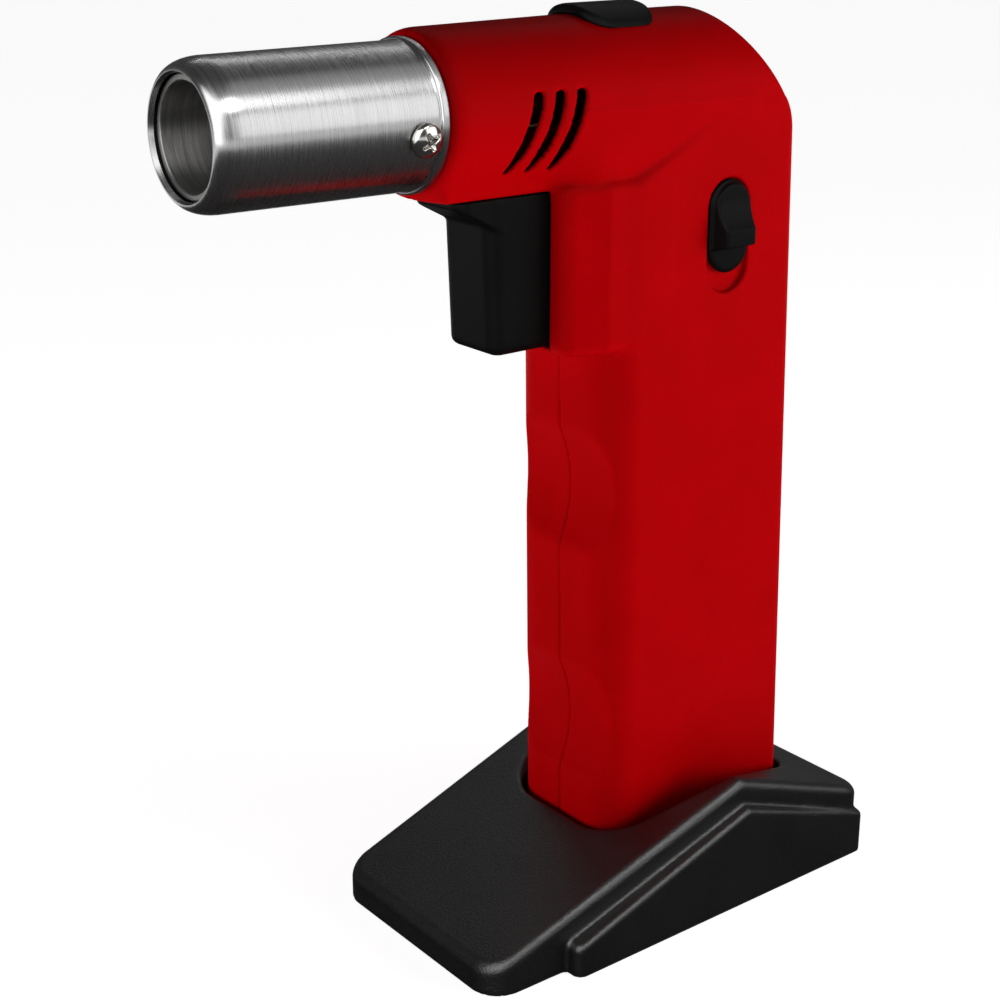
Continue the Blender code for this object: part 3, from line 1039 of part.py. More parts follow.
def build_stand():
    floor = FOOT_PROUD
    front, rear = STAND_FRONT_X, STAND_REAR_X
    halves = (STAND_FRONT_HALF, STAND_PEAK_HALF, STAND_REAR_HALF)
    plan = stand_plan(front, rear, halves, STAND_CORNER)
    stand = extruded("stand_base", plan, floor, 40, "Z")
    side = stand_side(front - 1, rear + 1, floor - 1, 0, STAND_EDGE)
    keep(stand, extruded("stand_profile", side, -BEYOND, BEYOND, "Y", CUTTERS))
    wing_plan = stand_plan(WING_FRONT_X, rear - 0.5, (WING_HALF, WING_HALF, WING_HALF), STAND_CORNER)
    wing = extruded("stand_wing", wing_plan, floor, 40, "Z", CUTTERS)
    wing_side = stand_side(WING_FRONT_X - 1, rear + 1, floor - 1, WING_DROP, STAND_EDGE)
    keep(wing, extruded("stand_wing_profile", wing_side, -BEYOND, BEYOND, "Y", CUTTERS))
    join(stand, wing)

    plan = stand_plan(front + STAND_WALL, rear - STAND_WALL, [half - STAND_WALL for half in halves], STAND_CORNER / 2)
    hollow = extruded("stand_hollow", plan, floor - 5, 40, "Z", CUTTERS)
    side = stand_side(front, rear, floor - 9, STAND_WALL + WING_DROP / 2, 0)
    keep(hollow, extruded("stand_hollow_profile", side, -BEYOND, BEYOND, "Y", CUTTERS))
    out = -SOCKET_CLEAR - STAND_WALL
    corner = HANDLE_FRONT_ROUND - out
    rear_corner = HANDLE_REAR_ROUND - out
    heights = (SOCKET_FLOOR_Z - SOCKET_FLOOR, 60)
    cut(hollow, handle_loft("socket_wall", heights, out, out, out, corner, rear_corner, CUTTERS))
    for number, (x, y) in enumerate(FOOT_PLACES, 1):
        post = rod(f"foot_post_{number}", FOOT_RADIUS + FOOT_POST, -BEYOND, BEYOND, (x, y, 0), "Z", MEDIUM_SIDES, CUTTERS)
        cut(hollow, post)
    cut(stand, hollow)
    lead = []
    for z, widen in ((SOCKET_FLOOR_Z, 0), (SOCKET_LEAD_Z, 0), (SOCKET_LEAD_Z + 20, 18)):
        out = -SOCKET_CLEAR - widen
        lead.append(handle_ring(z, out, out, out, HANDLE_FRONT_ROUND - out, HANDLE_REAR_ROUND - out))
    cut(stand, lofted("stand_socket", lead, CUTTERS))
    for number, (x, y) in enumerate(FOOT_PLACES, 1):
        cut(stand, hole(f"foot_pocket_{number}", FOOT_RADIUS + FIT, -1, FOOT_HEIGHT + FIT, (x, y, 0), "Z"))
        rod(f"stand_foot_{number}", FOOT_RADIUS, 0, FOOT_HEIGHT, (x, y, 0), "Z")


def material(name, shade, roughness, metallic):
    made = bpy.data.materials.new(name)
    made.use_nodes = True
    shader = made.node_tree.nodes["Principled BSDF"]
    shader.inputs["Base Color"].default_value = (*shade, 1)
    shader.inputs["Roughness"].default_value = roughness
    shader.inputs["Metallic"].default_value = metallic
    made.diffuse_color = (*shade, 1)
    return made


def paint():
    """Gives each piece the material that its name starts with."""
    red = material("red_plastic", (0.52, 0.012, 0.014), 0.42, 0)
    black = material("black_plastic", (0.012, 0.012, 0.013), 0.5, 0)
    steel = material("brushed_steel", (0.6, 0.59, 0.57), 0.3, 1)
    brass = material("brass", (0.66, 0.47, 0.2), 0.35, 1)
    rubber = material("black_rubber", (0.015, 0.015, 0.015), 0.8, 0)
    white = material("white_ceramic", (0.8, 0.79, 0.76), 0.4, 0)
    clear = material("natural_plastic", (0.7, 0.72, 0.72), 0.35, 0)
    kinds = {"housing_l": red, "housing_r": red, "housing_s": steel, "barrel": steel, "mount": steel, "burner": steel}
    kinds.update({"flame_h": brass, "mixing": brass, "gas_j": brass, "electrode_i": white, "gas_h": rubber})
    kinds.update({"valve_b": brass, "valve_i": brass, "valve_s": steel, "valve_l": steel, "lever": steel})
    kinds.update({"regulator": black, "flame_s": black, "trigger_s": steel, "piezo_i": black, "piezo_p": clear})
    kinds.update({"igniter": rubber, "lock_b": black, "lock_c": steel, "fuel": clear, "tank_l": clear, "dip": clear})
    kinds.update({"tank_g": rubber, "filler_b": brass, "filler_st": brass, "filler_sp": steel, "filler_se": rubber})
    kinds.update({"stand_b": black, "stand_f": rubber, "trigger": black, "electrode": steel})
    for obj in PARTS.objects:
        fitting = max((start for start in kinds if obj.name.startswith(start)), key=len)
        obj.data.materials.clear()
        obj.data.materials.append(kinds[fitting])


def set_origin(name, point):
    """Moves an object's origin to the point without moving its shape."""
    obj = bpy.data.objects[name]
    spot = Vector(point) * METRES
    obj.data.transform(Matrix.Translation(-spot))
    obj.location = spot


def place_origins():
    """Puts the origin of each moving piece on its joint's axis."""
    set_origin("trigger", (0, 0, PIEZO_Z))
    set_origin("piezo_plunger", (0, 0, PIEZO_Z))
    set_origin("valve_lever", (LEVER_X, 0, LEVER_Z))
    set_origin("valve_stem", (STEM_TIP_X, 0, VALVE_Z))
    set_origin("regulator_collar", (SLIDER_X, 0, VALVE_Z))
    set_origin("flame_slider", (SLIDER_X, -HANDLE_HALF_WIDTH, VALVE_Z))
    set_origin("lock_button", ((LOCK_FRONT_X + LOCK_REAR_X) / 2, 0, AXIS_Z + BODY_RADIUS))
    set_origin("lock_clip", ((LOCK_FRONT_X + LOCK_REAR_X) / 2, 0, AXIS_Z + BODY_RADIUS))
    set_origin("filler_stem", (FILLER_X, 0, FILLER_BOTTOM_Z))


build_barrel()
build_burner()
build_housing()
build_trigger()
build_valve()
build_slider()
build_lock()
build_tank()
build_filler()
build_stand()
paint()
place_origins()
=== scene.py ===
"""Looks of a butane torch in its slip-on foot: fine surfaces, finishes, light and camera.

Sizes are in millimetres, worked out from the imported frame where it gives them.
The barrel points to -X, +Z is up, and the torch's left side faces -Y.
"""
import json
import math

import bpy
import numpy as np
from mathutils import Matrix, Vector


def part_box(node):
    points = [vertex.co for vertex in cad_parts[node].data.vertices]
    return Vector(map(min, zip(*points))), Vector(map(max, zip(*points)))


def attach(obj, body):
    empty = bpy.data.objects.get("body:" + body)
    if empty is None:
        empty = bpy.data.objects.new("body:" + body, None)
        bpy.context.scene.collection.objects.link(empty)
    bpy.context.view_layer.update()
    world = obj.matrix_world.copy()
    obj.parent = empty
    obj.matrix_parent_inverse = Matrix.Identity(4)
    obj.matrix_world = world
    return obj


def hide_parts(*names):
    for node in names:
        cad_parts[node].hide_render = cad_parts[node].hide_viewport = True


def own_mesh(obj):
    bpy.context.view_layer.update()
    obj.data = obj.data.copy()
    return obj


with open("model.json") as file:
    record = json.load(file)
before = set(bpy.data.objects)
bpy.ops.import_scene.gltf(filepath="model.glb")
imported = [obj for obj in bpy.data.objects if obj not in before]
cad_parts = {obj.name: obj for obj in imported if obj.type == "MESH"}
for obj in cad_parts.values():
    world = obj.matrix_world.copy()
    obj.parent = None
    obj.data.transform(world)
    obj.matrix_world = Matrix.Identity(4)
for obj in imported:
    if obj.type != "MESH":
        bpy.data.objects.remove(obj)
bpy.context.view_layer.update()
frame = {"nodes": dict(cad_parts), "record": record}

MM = 0.001


def limits(node):
    """Lowest and highest corner of a CAD node, in millimetres."""
    low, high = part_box(node)
    return np.array(low) / MM, np.array(high) / MM


# Places read from the frame
BARREL_LOW, BARREL_HIGH = limits("barrel")
BURNER_LOW, BURNER_HIGH = limits("burner_tube")
HOUSING_LOW, HOUSING_HIGH = limits("housing_left")
TRIGGER_LOW, TRIGGER_HIGH = limits("trigger")
SLIDER_LOW, SLIDER_HIGH = limits("flame_slider")
LOCK_LOW, LOCK_HIGH = limits("lock_button")
STAND_LOW, STAND_HIGH = limits("stand_base")
HOLDER_LOW, HOLDER_HIGH = limits("flame_holder")
AXIS_Z = (BARREL_LOW[2] + BARREL_HIGH[2]) / 2
NOSE_X = BARREL_LOW[0]
BARREL_REAR_X = BARREL_HIGH[0]
BODY_FRONT_X = HOUSING_LOW[0]
HANDLE_BOTTOM_Z = HOUSING_LOW[2]
BODY_TOP_Z = HOUSING_HIGH[2]

# Barrel and burner
BARREL_RADIUS = 13.45
BARREL_NOSE_RADIUS = 13.2
BARREL_BEAD_RADIUS = 14.05
BARREL_BEAD_LENGTH = 1.7
BARREL_BEAD_EDGE = 0.45
BARREL_WALL = 0.9
NOSE_MOUTH_RADIUS = 11.0
NOSE_ROUNDING = 5.4
NOSE_INNER_DROP = 0.35
BEAD_FILLET = 0.12
BEAD_FILLET_LENGTH = 0.15
BARREL_RUN_ENDS = (0.4, 0.6)
BARREL_SIDES = 160
BURNER_RADIUS = 10.55
BURNER_BORE = 9.35
BURNER_EDGE = 0.3
BURNER_SIDES = 120
HOLDER_EDGE = 0.4
HOLDER_STEP = 0.3
TURNED_CREASE_DEG = 40
HOLDER_PORTS = 8
HOLDER_PORT_RADIUS = 1.2
HOLDER_PORT_CIRCLE = 6.6
SPARK_PORT_RADIUS = 1.8
HOLDER_BORE = 4.3
SCREW_HEAD_RADIUS = 2.8
BARREL_SCREW_RADIUS = 3.2
SCREW_HEAD_HEIGHT = 1.9
SCREW_SHANK_RADIUS = 1.4
SCREW_RECESS_REACH = 2.1
SCREW_RECESS_WIDTH = 0.9
SCREW_RECESS_DEPTH = 1.3
SCREW_SETBACK = 5.0
SCREW_DROP_DEG = 10.0
SCREW_TURN_DEG = 32.0
SCREW_DOME_EXTRA = 1.2
SCREW_HEAD_EDGE = 0.5
SCREW_SEAT_EDGE = 0.15
SCREW_SHANK_OVERLAP = 0.2
SCREW_RECESS_TAPER = 0.45
SCREW_RECESS_CORE = 0.95
SCREW_RECESS_BLEND = 0.3
SCREW_RECESS_EDGE = 0.08
SCREW_STEP = 0.14
SLEEVE_BORE = 10.85

# Housing
FIT = 0.3
WALL = 2.2
SEAM_GAP = 0.05
BODY_LIP_RADIUS = 14.2
BODY_FRONT_RADIUS = 15.4
BODY_RADIUS = BODY_TOP_Z - AXIS_Z
BODY_LIP_LENGTH = 3.4
BODY_LIP_EDGE = 0.8
BODY_TAPER_END_X = 16.0
BODY_REAR_X = 56.0
SLEEVE_HOLE_RADIUS = 12.55
HANDLE_HALF = 16.0
HANDLE_FRONT_BOTTOM_X = 9.3
HANDLE_FRONT_TOP_X = 7.1
HANDLE_REAR_BOTTOM_X = HOUSING_HIGH[0]
HANDLE_REAR_TOP_X = 56.4
HANDLE_FRONT_ROUND = 8.0
HANDLE_REAR_ROUND = 3.0
HANDLE_FOOT_ROUND = 1.2
GROOVE_CENTRES_Z = (94.0, 42.0)
GROOVE_RADIUS = 28.0
GROOVE_DEPTH = 3.0
GROOVE_EDGE = 0.6
SHOULDER_Z = 157.6
SHOULDER_X = 12.0
SHOULDER_SLOPE = 0.53
SHOULDER_BLEND = 0.7
CHEEK_X = (-8.0, 45.0)
CHEEK_RUN = 14.0
CHEEK_BEND = 0.0081
CHEEK_DEEPEST = 0.97
CHEEK_SINK = 0.3
CHEEK_BLEND = 0.6
BLOCK_FRONT_X = -1.7
BLOCK_FRONT_HALF = 13.0
BLOCK_FLARE_X = 7.2
BLOCK_BACK_X = 24.0
BLOCK_HALF = 15.8
BLOCK_BOTTOM_Z = 124.9
BLOCK_EDGE = 2.2
BLOCK_FLOOR = 1.0
BLOCK_BLEND = 1.0
CHIN_FRONT_X = -26.8
CHIN_HALF = 9.0
CHIN_BOTTOM_Z = 157.0
CHIN_EDGE = 0.8
CHIN_BLEND = 3.0
HUMP_TOP_X = 41.3
HUMP_FOOT_X = 56.0
HUMP_FOOT_Z = 168.3
HUMP_ROUND = 2.6
SLOT_TOPS_X = (-9.9, -4.9, 0.1)
SLOT_TOP_Z = 176.3
SLOT_BOTTOM_Z = 161.6
SLOT_LEAN = 5.3
SLOT_BOW = 0.5
SLOT_WIDTH = 2.4
SLOT_TOP_SHARE = 0.75
SLOT_TOP_GROWTH = 4.0
SLOT_BOTTOM_SHARE = 0.5
SLOT_BOTTOM_GROWTH = 1.8
SLOT_INNER_Y = 8.0
EDGE_BREAK = 0.3
VENT_WALL = 0.9
VENT_PATCH_X = (-19.0, 4.0)
VENT_PATCH_Z = (159.5, 178.5)
OPENING_HALF = 8.1
OPENING_REAR_X = 8.3
OPENING_TOP_Z = CHIN_BOTTOM_Z - 0.2
FILLER_X = 35.0
FILLER_HOLE_RADIUS = 4.5
LOCK_SLOT_X = (13.1, 22.7)
LOCK_SLOT_HALF = 2.3
SLIDER_X = (SLIDER_LOW[0] + SLIDER_HIGH[0]) / 2
SLIDER_HALF = 5.3
SLIDER_TRAVEL = 3.8
SLIDER_SINK = 1.2
SLIDER_PROUD = 0.3
SLIDER_STEM_HALF = 2.2
SLIDER_STEM_Z = (143.5, 151.5)
HOUSING_SCREWS = ((42.0, 172.0), (53.0, 121.0), (17.0, 118.5), (17.0, 16.6), (54.0, 16.6))
BOSS_RADIUS = 3.0
SCREW_BOSS_RADIUS = 4.6
SCREW_SINK = 6.0
HOUSING_STEP = 0.56

# Trigger, slider and lock button
TRIGGER_HALF = 7.8
TRIGGER_REAR_X = 2.0
TRIGGER_FRONT_X = -14.6
TRIGGER_LEAN = 1.3
TRIGGER_ROUND = 2.8
TRIGGER_BOTTOM_ROUND = 1.9
TRIGGER_WALL = 2.0
TRIGGER_LIP_X = -22.5
TRIGGER_LIP_TIP = 1.5
TRIGGER_LIP_ROOT = 5.6
TRIGGER_EDGE = 0.4
TRIGGER_LIP_EDGE = 0.5
TRIGGER_LIP_BLEND = 0.8
TRIGGER_LIP_INSET = 0.1
TRIGGER_POCKET_EDGE = 0.2
TRIGGER_PAD_EDGE = 0.3
TRIGGER_STEP = 0.36
TRIGGER_PAD_HALF = 2.5
TRIGGER_PAD_Z = (138.0, 140.5)
SLIDER_CREST_HEIGHT = 3.7
SLIDER_CREST_Z = (143.3, 146.4)
SLIDER_SCOOP = 6.0
SLIDER_RIM = 0.5
SLIDER_PAD_HEIGHT = 1.2
SLIDER_EDGE = 0.35
SLIDER_FALL = 1.1
SLIDER_PAD_EVEN = 0.75
SLIDER_PAD_DRAFT = 0.25
SLIDER_PAD_EDGE = 0.4
SLIDER_PAD_BLEND = 0.5
SLIDER_STEM_DEPTH = 1.0
SLIDER_STEM_OVERLAP = 0.5
SLIDER_CLIP_THICK = 1.2
SLIDER_CLIP_INSET = 0.5
SLIDER_CLIP_REACH = (2.0, 1.0)
SLIDER_STEP = 0.2
LOCK_STEP = 0.24
LOCK_ROUND = 5.5
LOCK_X = (LOCK_LOW[0] - 2.8, LOCK_HIGH[0] + 0.8)
LOCK_TOP_Z = LOCK_HIGH[2] + 0.7
LOCK_STEM_X = (13.4, 18.4)
LOCK_STEM_HALF = 2.0
LOCK_HALF = 8.8
LOCK_CROWN = 12.5
LOCK_EDGE = 1.0
LOCK_CLEAR = 0.1
LOCK_DRAFT = 0.12
TRIGGER_SPRING = {"wire": 0.35, "turns": 5, "along": 0, "joint": "trigger_pull", "keep": 0.75}
FILLER_SPRING = {"wire": 0.25, "turns": 4, "along": 2, "joint": "filler_press", "keep": 0.912}
SPRING_CLOSED_TURNS = 0.75
SPRING_CLOSED_PITCH = 2.4
COIL_STEPS = 48
COIL_SIDES = 12

# Stand
STAND_EDGE_HEIGHT = 6.5
STAND_SLOPE = 0.336
STAND_PEAK_X = 36.4
STAND_REAR_HEIGHT = 15.6
STAND_FRONT_HALF = 27.0
STAND_PEAK_HALF = 29.0
STAND_REAR_HALF = 31.2
STAND_CORNER = 6.5
STAND_EDGE = 2.0
WING_FRONT_X = -11.5
WING_HALF = 31.5
WING_DROP = 5.8
WING_EDGE = 1.2
WING_BLEND = 0.8
WING_CORNER = 2.2
WING_REAR_SETBACK = 0.5
STAND_FOOT_EDGE = 0.3
STAND_WALL = 2.5
SOCKET_CLEAR = 1.3
SOCKET_FLOOR_Z = 9.0
SOCKET_FLOOR = 2.8
SOCKET_LEAD_Z = 19.5
SOCKET_LEAD_SLOPE = 0.9
SOCKET_EDGE = 0.5
FOOT_PLACES = ((-20.0, -18.0), (-20.0, 18.0), (62.0, -21.0), (62.0, 21.0))
FOOT_RADIUS = 4.5
FOOT_HEIGHT = 2.4
FOOT_POST = 1.8
FOOT_EDGE = 0.4
FOOT_SIDES = 48
STAND_STEP = 0.62

# Camera and light
CAMERA_PLACE = (-0.2215, -0.2746, 0.2166)
CAMERA_PITCH_DEG = 90 - 19.36
CAMERA_TURN_DEG = -37.96
CAMERA_LENS = 66.26
SENSOR = 36.0
LAMP_TARGET = (0.0, 0.0, 0.12)
FLOOR_REACH = 2000.0
FLOOR_GLOW_BOUNCE = 0.55
FLOOR_GLOW_SEEN = 0.9
FLAG_CORNERS = ((-0.6, -0.8), (0.6, -0.8), (0.6, 0.35), (-0.6, 0.35))
FLAG_Z = 0.0001
WORLD_STRENGTH = 0.07


# Surfaces

# Steps of empty grid round a piece; not a whole number, so that no flat face falls on the grid
GRID_MARGIN = 1.63


def both(a, b, radius):
    """Meeting of two distance fields, its outer edge rounded: inside both, the larger distance;
    near the edge, the distance to an arc of the given radius."""
    corner = np.hypot(np.maximum(a + radius, 0), np.maximum(b + radius, 0))
    return np.minimum(np.maximum(a, b), -radius) + corner


def either(a, b, blend):
    """Union of two distance fields with a soft hollow: the smaller distance, less a square of how near
    they are."""
    near = np.maximum(blend - np.abs(a - b), 0) / blend
    return np.minimum(a, b) - near * near * blend / 4


def less(a, b, radius):
    """The first field with the second cut out of it, the cut's edge rounded."""
    return both(a, -b, radius)


def slab(values, low, high):
    """Distance to the span between two levels: half its width less than the distance from its middle."""
    return np.abs(values - (low + high) / 2) - (high - low) / 2


def corner_box(u, v, half_u, half_v, radius):
    """Distance in a plane to a rectangle with round corners: the length past its inner corners."""
    past_u = np.abs(u) - half_u + radius
    past_v = np.abs(v) - half_v + radius
    outside = np.hypot(np.maximum(past_u, 0), np.maximum(past_v, 0))
    return outside + np.minimum(np.maximum(past_u, past_v), 0) - radius


def surface_nets(field, low, high, step):
    """Points and quads of the surface where a field is zero.

    Each grid cell that the surface crosses gets one point, the mean of where it crosses the cell's edges.
    Each crossed edge gets a quad between its four cells. Newton steps then move points onto the surface.
    """
    margin = GRID_MARGIN * step
    low = np.asarray(low, float) - margin
    counts = np.ceil((np.asarray(high, float) + margin - low) / step).astype(int) + 1
    axes = [low[axis] + step * np.arange(counts[axis]) for axis in range(3)]
    values = field(*np.meshgrid(*axes, indexing="ij"))
    cells = counts - 1
    size = int(np.prod(cells))
    total = np.zeros((size, 3))
    number = np.zeros(size)
    rings = []
    for axis in range(3):
        first = np.moveaxis(np.moveaxis(values, axis, 0)[:-1], 0, axis)
        second = np.moveaxis(np.moveaxis(values, axis, 0)[1:], 0, axis)
        edges = np.argwhere((first < 0) != (second < 0))
        start = first[tuple(edges.T)]
        end = second[tuple(edges.T)]
        spots = edges.astype(float)
        spots[:, axis] += start / (start - end)
        ring = []
        kept = np.ones(len(edges), bool)
        for back in ((1, 1), (0, 1), (0, 0), (1, 0)):
            cell = edges.copy()
            cell[:, (axis + 1) % 3] -= back[0]
            cell[:, (axis + 2) % 3] -= back[1]
            kept &= ((cell >= 0) & (cell < cells)).all(1)
            ring.append(np.ravel_multi_index(np.clip(cell, 0, cells - 1).T, cells))
        ring = np.array(ring).T
        ring[start > 0] = ring[start > 0][:, ::-1]
        ring = ring[kept]
        for corner in range(4):
            number += np.bincount(ring[:, corner], minlength=size)
            for part in range(3):
                total[:, part] += np.bincount(ring[:, corner], spots[kept][:, part], minlength=size)
        rings.append(ring)
    used = number > 0
    names = np.cumsum(used) - 1
    points = low + step * total[used] / number[used][:, None]
    quads = names[np.concatenate(rings)]
    return settle(field, points, step), quads


def settle(field, points, step):
    """Newton steps along the field's slope, which bring points onto the surface."""
    reach = 0.02
    for _ in range(4):
        here = field(*points.T)
        slope = np.empty_like(points)
        for axis in range(3):
            shift = np.zeros(3)
            shift[axis] = reach
            slope[:, axis] = (field(*(points + shift).T) - field(*(points - shift).T)) / (2 * reach)
        steep = np.maximum((slope * slope).sum(1), 0.25)
        move = slope * (here / steep)[:, None]
        points = points - np.clip(move, -step / 2, step / 2)
    return points


def turned_surface(profile, sides, centre, along=0):
    """A closed profile of (distance, radius) carried round an axis: radius times (cos t, sin t)."""
    profile = np.asarray(profile, float)
    angles = 2 * np.pi * np.arange(sides) / sides
    points = np.empty((len(profile), sides, 3))
    points[:, :, along] = profile[:, None, 0]
    points[:, :, (along + 1) % 3] = profile[:, None, 1] * np.cos(angles)
    points[:, :, (along + 2) % 3] = profile[:, None, 1] * np.sin(angles)
    points += np.asarray(centre, float)
    rows = np.arange(len(profile))[:, None]
    columns = np.arange(sides)[None, :]
    next_row = (rows + 1) % len(profile)
    next_column = (columns + 1) % sides
    corners = [rows * sides + columns, next_row * sides + columns]
    corners += [next_row * sides + next_column, rows * sides + next_column]
    quads = np.stack([np.broadcast_to(c, (len(profile), sides)) for c in corners], -1).reshape(-1, 4)
    return points.reshape(-1, 3), quads


def arc(centre, radius_a, radius_b, start_deg, end_deg, steps):
    """Points of an elliptical arc: centre plus (radius a times cos, radius b times sin)."""
    angles = np.radians(np.linspace(start_deg, end_deg, steps))
    return np.stack([centre[0] + radius_a * np.cos(angles), centre[1] + radius_b * np.sin(angles)], -1)


def add_piece(name, surface, finish, node, crease_deg=None):
    """Makes a mesh piece that stands for a CAD node and moves with the node's body."""
    points, quads = surface
    mesh = bpy.data.meshes.new(name)
    mesh.from_pydata((points * MM).tolist(), [], quads.tolist())
    mesh.validate()
    mesh.polygons.foreach_set("use_smooth", np.ones(len(mesh.polygons), bool))
    if crease_deg:
        mesh.set_sharp_from_angle(angle=math.radians(crease_deg))
    mesh.materials.append(finish)
    piece = bpy.data.objects.new(name, mesh)
    bpy.context.scene.collection.objects.link(piece)
    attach(piece, body_of(node))
    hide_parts(node)
    return piece


def body_of(node):
    for body, nodes in frame["record"]["behaviour"]["bodies"].items():
        if node in nodes:
            return body
    raise KeyError(node)


# Housing

def handle_face(z, bottom_x, top_x):
    """Where a straight face of the handle stands at height z."""
    share = (z - HANDLE_BOTTOM_Z) / (AXIS_Z - HANDLE_BOTTOM_Z)
    return bottom_x + share * (top_x - bottom_x)


def handle_section(x, y, z, grow=0.0):
    """Distance to the handle's section: a rectangle with wide round front corners and small rear ones."""
    front = handle_face(z, HANDLE_FRONT_BOTTOM_X, HANDLE_FRONT_TOP_X) - grow
    rear = handle_face(z, HANDLE_REAR_BOTTOM_X, HANDLE_REAR_TOP_X) + grow
    middle = (front + rear) / 2
    radius = np.where(x < middle, HANDLE_FRONT_ROUND, HANDLE_REAR_ROUND) + grow
    return corner_box(x - middle, y, (rear - front) / 2, HANDLE_HALF + grow, radius)


def body_radius(x):
    """Radius of the round body at x: a quarter ellipse at the front lip, then a slow taper."""
    from_front = np.clip((x - BODY_FRONT_X) / BODY_LIP_LENGTH, 0, 1)
    lip = BODY_LIP_RADIUS + (BODY_FRONT_RADIUS - BODY_LIP_RADIUS) * np.sqrt(1 - (1 - from_front) ** 2)
    taper_start = BODY_FRONT_X + BODY_LIP_LENGTH
    share = np.clip((x - taper_start) / (BODY_TAPER_END_X - taper_start), 0, 1)
    return lip + share * (BODY_RADIUS - BODY_FRONT_RADIUS)


def round_body(x, y, z):
    """Distance to the round body: how far a point lies outside its radius about the barrel's axis."""
    around = np.hypot(y, z - AXIS_Z) - body_radius(x)
    return both(around, slab(x, BODY_FRONT_X, BODY_REAR_X), BODY_LIP_EDGE)


def trigger_block(x, y, z):
    """Distance to the block behind the trigger: flared sides, a flat front and a rounded lower edge."""
    run = BLOCK_FLARE_X - BLOCK_FRONT_X
    rise = BLOCK_HALF - BLOCK_FRONT_HALF
    length = math.hypot(run, rise)
    flare = ((np.abs(y) - BLOCK_FRONT_HALF) * run - (x - BLOCK_FRONT_X) * rise) / length
    sides = np.maximum(flare, np.abs(y) - BLOCK_HALF)
    plan = both(sides, slab(x, BLOCK_FRONT_X, BLOCK_BACK_X), BLOCK_EDGE)
    return both(plan, slab(z, BLOCK_BOTTOM_Z, SHOULDER_Z + 1), BLOCK_EDGE)


def cheeks(x, y, z):
    """Distance to the fill below the round body: a flatter curve, which runs out forward onto the round."""
    drop = np.clip(AXIS_Z - z, 0, CHEEK_DEEPEST * BODY_RADIUS)
    radius = body_radius(x)
    round_half = np.sqrt(BODY_RADIUS ** 2 - drop ** 2) + radius - BODY_RADIUS - CHEEK_SINK
    flat_half = radius - CHEEK_BEND * drop ** 2
    share = np.clip((x - CHEEK_X[0]) / CHEEK_RUN, 0, 1)
    ease = share * share * (3 - 2 * share)
    half = round_half + ease * (flat_half - round_half)
    steep_z = (1 - ease) * drop / np.sqrt(BODY_RADIUS ** 2 - drop ** 2) + ease * 2 * CHEEK_BEND * drop
    steep_x = (flat_half - round_half) * 6 * share * (1 - share) / CHEEK_RUN
    side = (np.abs(y) - half) / np.sqrt(1 + steep_z ** 2 + steep_x ** 2)
    span = np.maximum(slab(x, *CHEEK_X), slab(z, SHOULDER_Z - WALL, AXIS_Z))
    return np.maximum(side, span)


def housing_skin(x, y, z):
    """Distance to the outside of the housing: handle, block, chin and round body blended, then the slanted
    rear and the finger grooves cut."""
    slope = math.hypot(1, SHOULDER_SLOPE)
    shoulder = np.minimum(z - SHOULDER_Z, (z - SHOULDER_Z - SHOULDER_SLOPE * (x - SHOULDER_X)) / slope)
    shoulder = np.maximum(shoulder, z - AXIS_Z)
    handle = both(handle_section(x, y, z), HANDLE_BOTTOM_Z - z, HANDLE_FOOT_ROUND)
    handle = both(handle, shoulder, BLOCK_EDGE)
    for centre_z in GROOVE_CENTRES_Z:
        front = handle_face(centre_z, HANDLE_FRONT_BOTTOM_X, HANDLE_FRONT_TOP_X)
        centre_x = front + GROOVE_DEPTH - GROOVE_RADIUS
        handle = less(handle, np.hypot(x - centre_x, z - centre_z) - GROOVE_RADIUS, GROOVE_EDGE)
    handle = either(handle, trigger_block(x, y, z), BLOCK_BLEND)
    chin = both(slab(x, CHIN_FRONT_X, BLOCK_FLARE_X), slab(z, CHIN_BOTTOM_Z, AXIS_Z), CHIN_EDGE)
    chin = both(chin, np.abs(y) - CHIN_HALF, CHIN_EDGE)
    body = either(round_body(x, y, z), chin, CHIN_BLEND)
    body = either(body, cheeks(x, y, z), CHEEK_BLEND)
    skin = either(body, handle, SHOULDER_BLEND)
    fall = BODY_TOP_Z - HUMP_FOOT_Z
    run = HUMP_FOOT_X - HUMP_TOP_X
    hump = ((x - HUMP_TOP_X) * fall + (z - BODY_TOP_Z) * run) / math.hypot(run, fall)
    return both(skin, hump, HUMP_ROUND)


def vent_slots(x, y, z):
    """Distance to the three vent slots: bowed centre lines that lean forward, narrower at both ends."""
    share = np.clip((SLOT_TOP_Z - z) / (SLOT_TOP_Z - SLOT_BOTTOM_Z), 0, 1)
    centre = -SLOT_LEAN * share + SLOT_BOW * 4 * share * (1 - share)
    near_top = np.minimum(1, SLOT_TOP_SHARE + SLOT_TOP_GROWTH * share)
    near_bottom = SLOT_BOTTOM_SHARE + SLOT_BOTTOM_GROWTH * (1 - share)
    half = SLOT_WIDTH / 2 * np.minimum(near_top, near_bottom)
    nearest = np.full_like(x, 1000.0)
    for top_x in SLOT_TOPS_X:
        nearest = np.minimum(nearest, np.abs(x - top_x - centre) - half)
    ends = slab(z, SLOT_BOTTOM_Z, SLOT_TOP_Z)
    return np.maximum(both(nearest, ends, SLOT_WIDTH / 4), SLOT_INNER_Y - np.abs(y))


def upright_slot(x, z, bottom, top, half):
    """Distance in the side view to an upright slot with round ends."""
    middle = (bottom + top) / 2
    return corner_box(x - SLIDER_X, z - middle, half, (top - bottom) / 2, half)


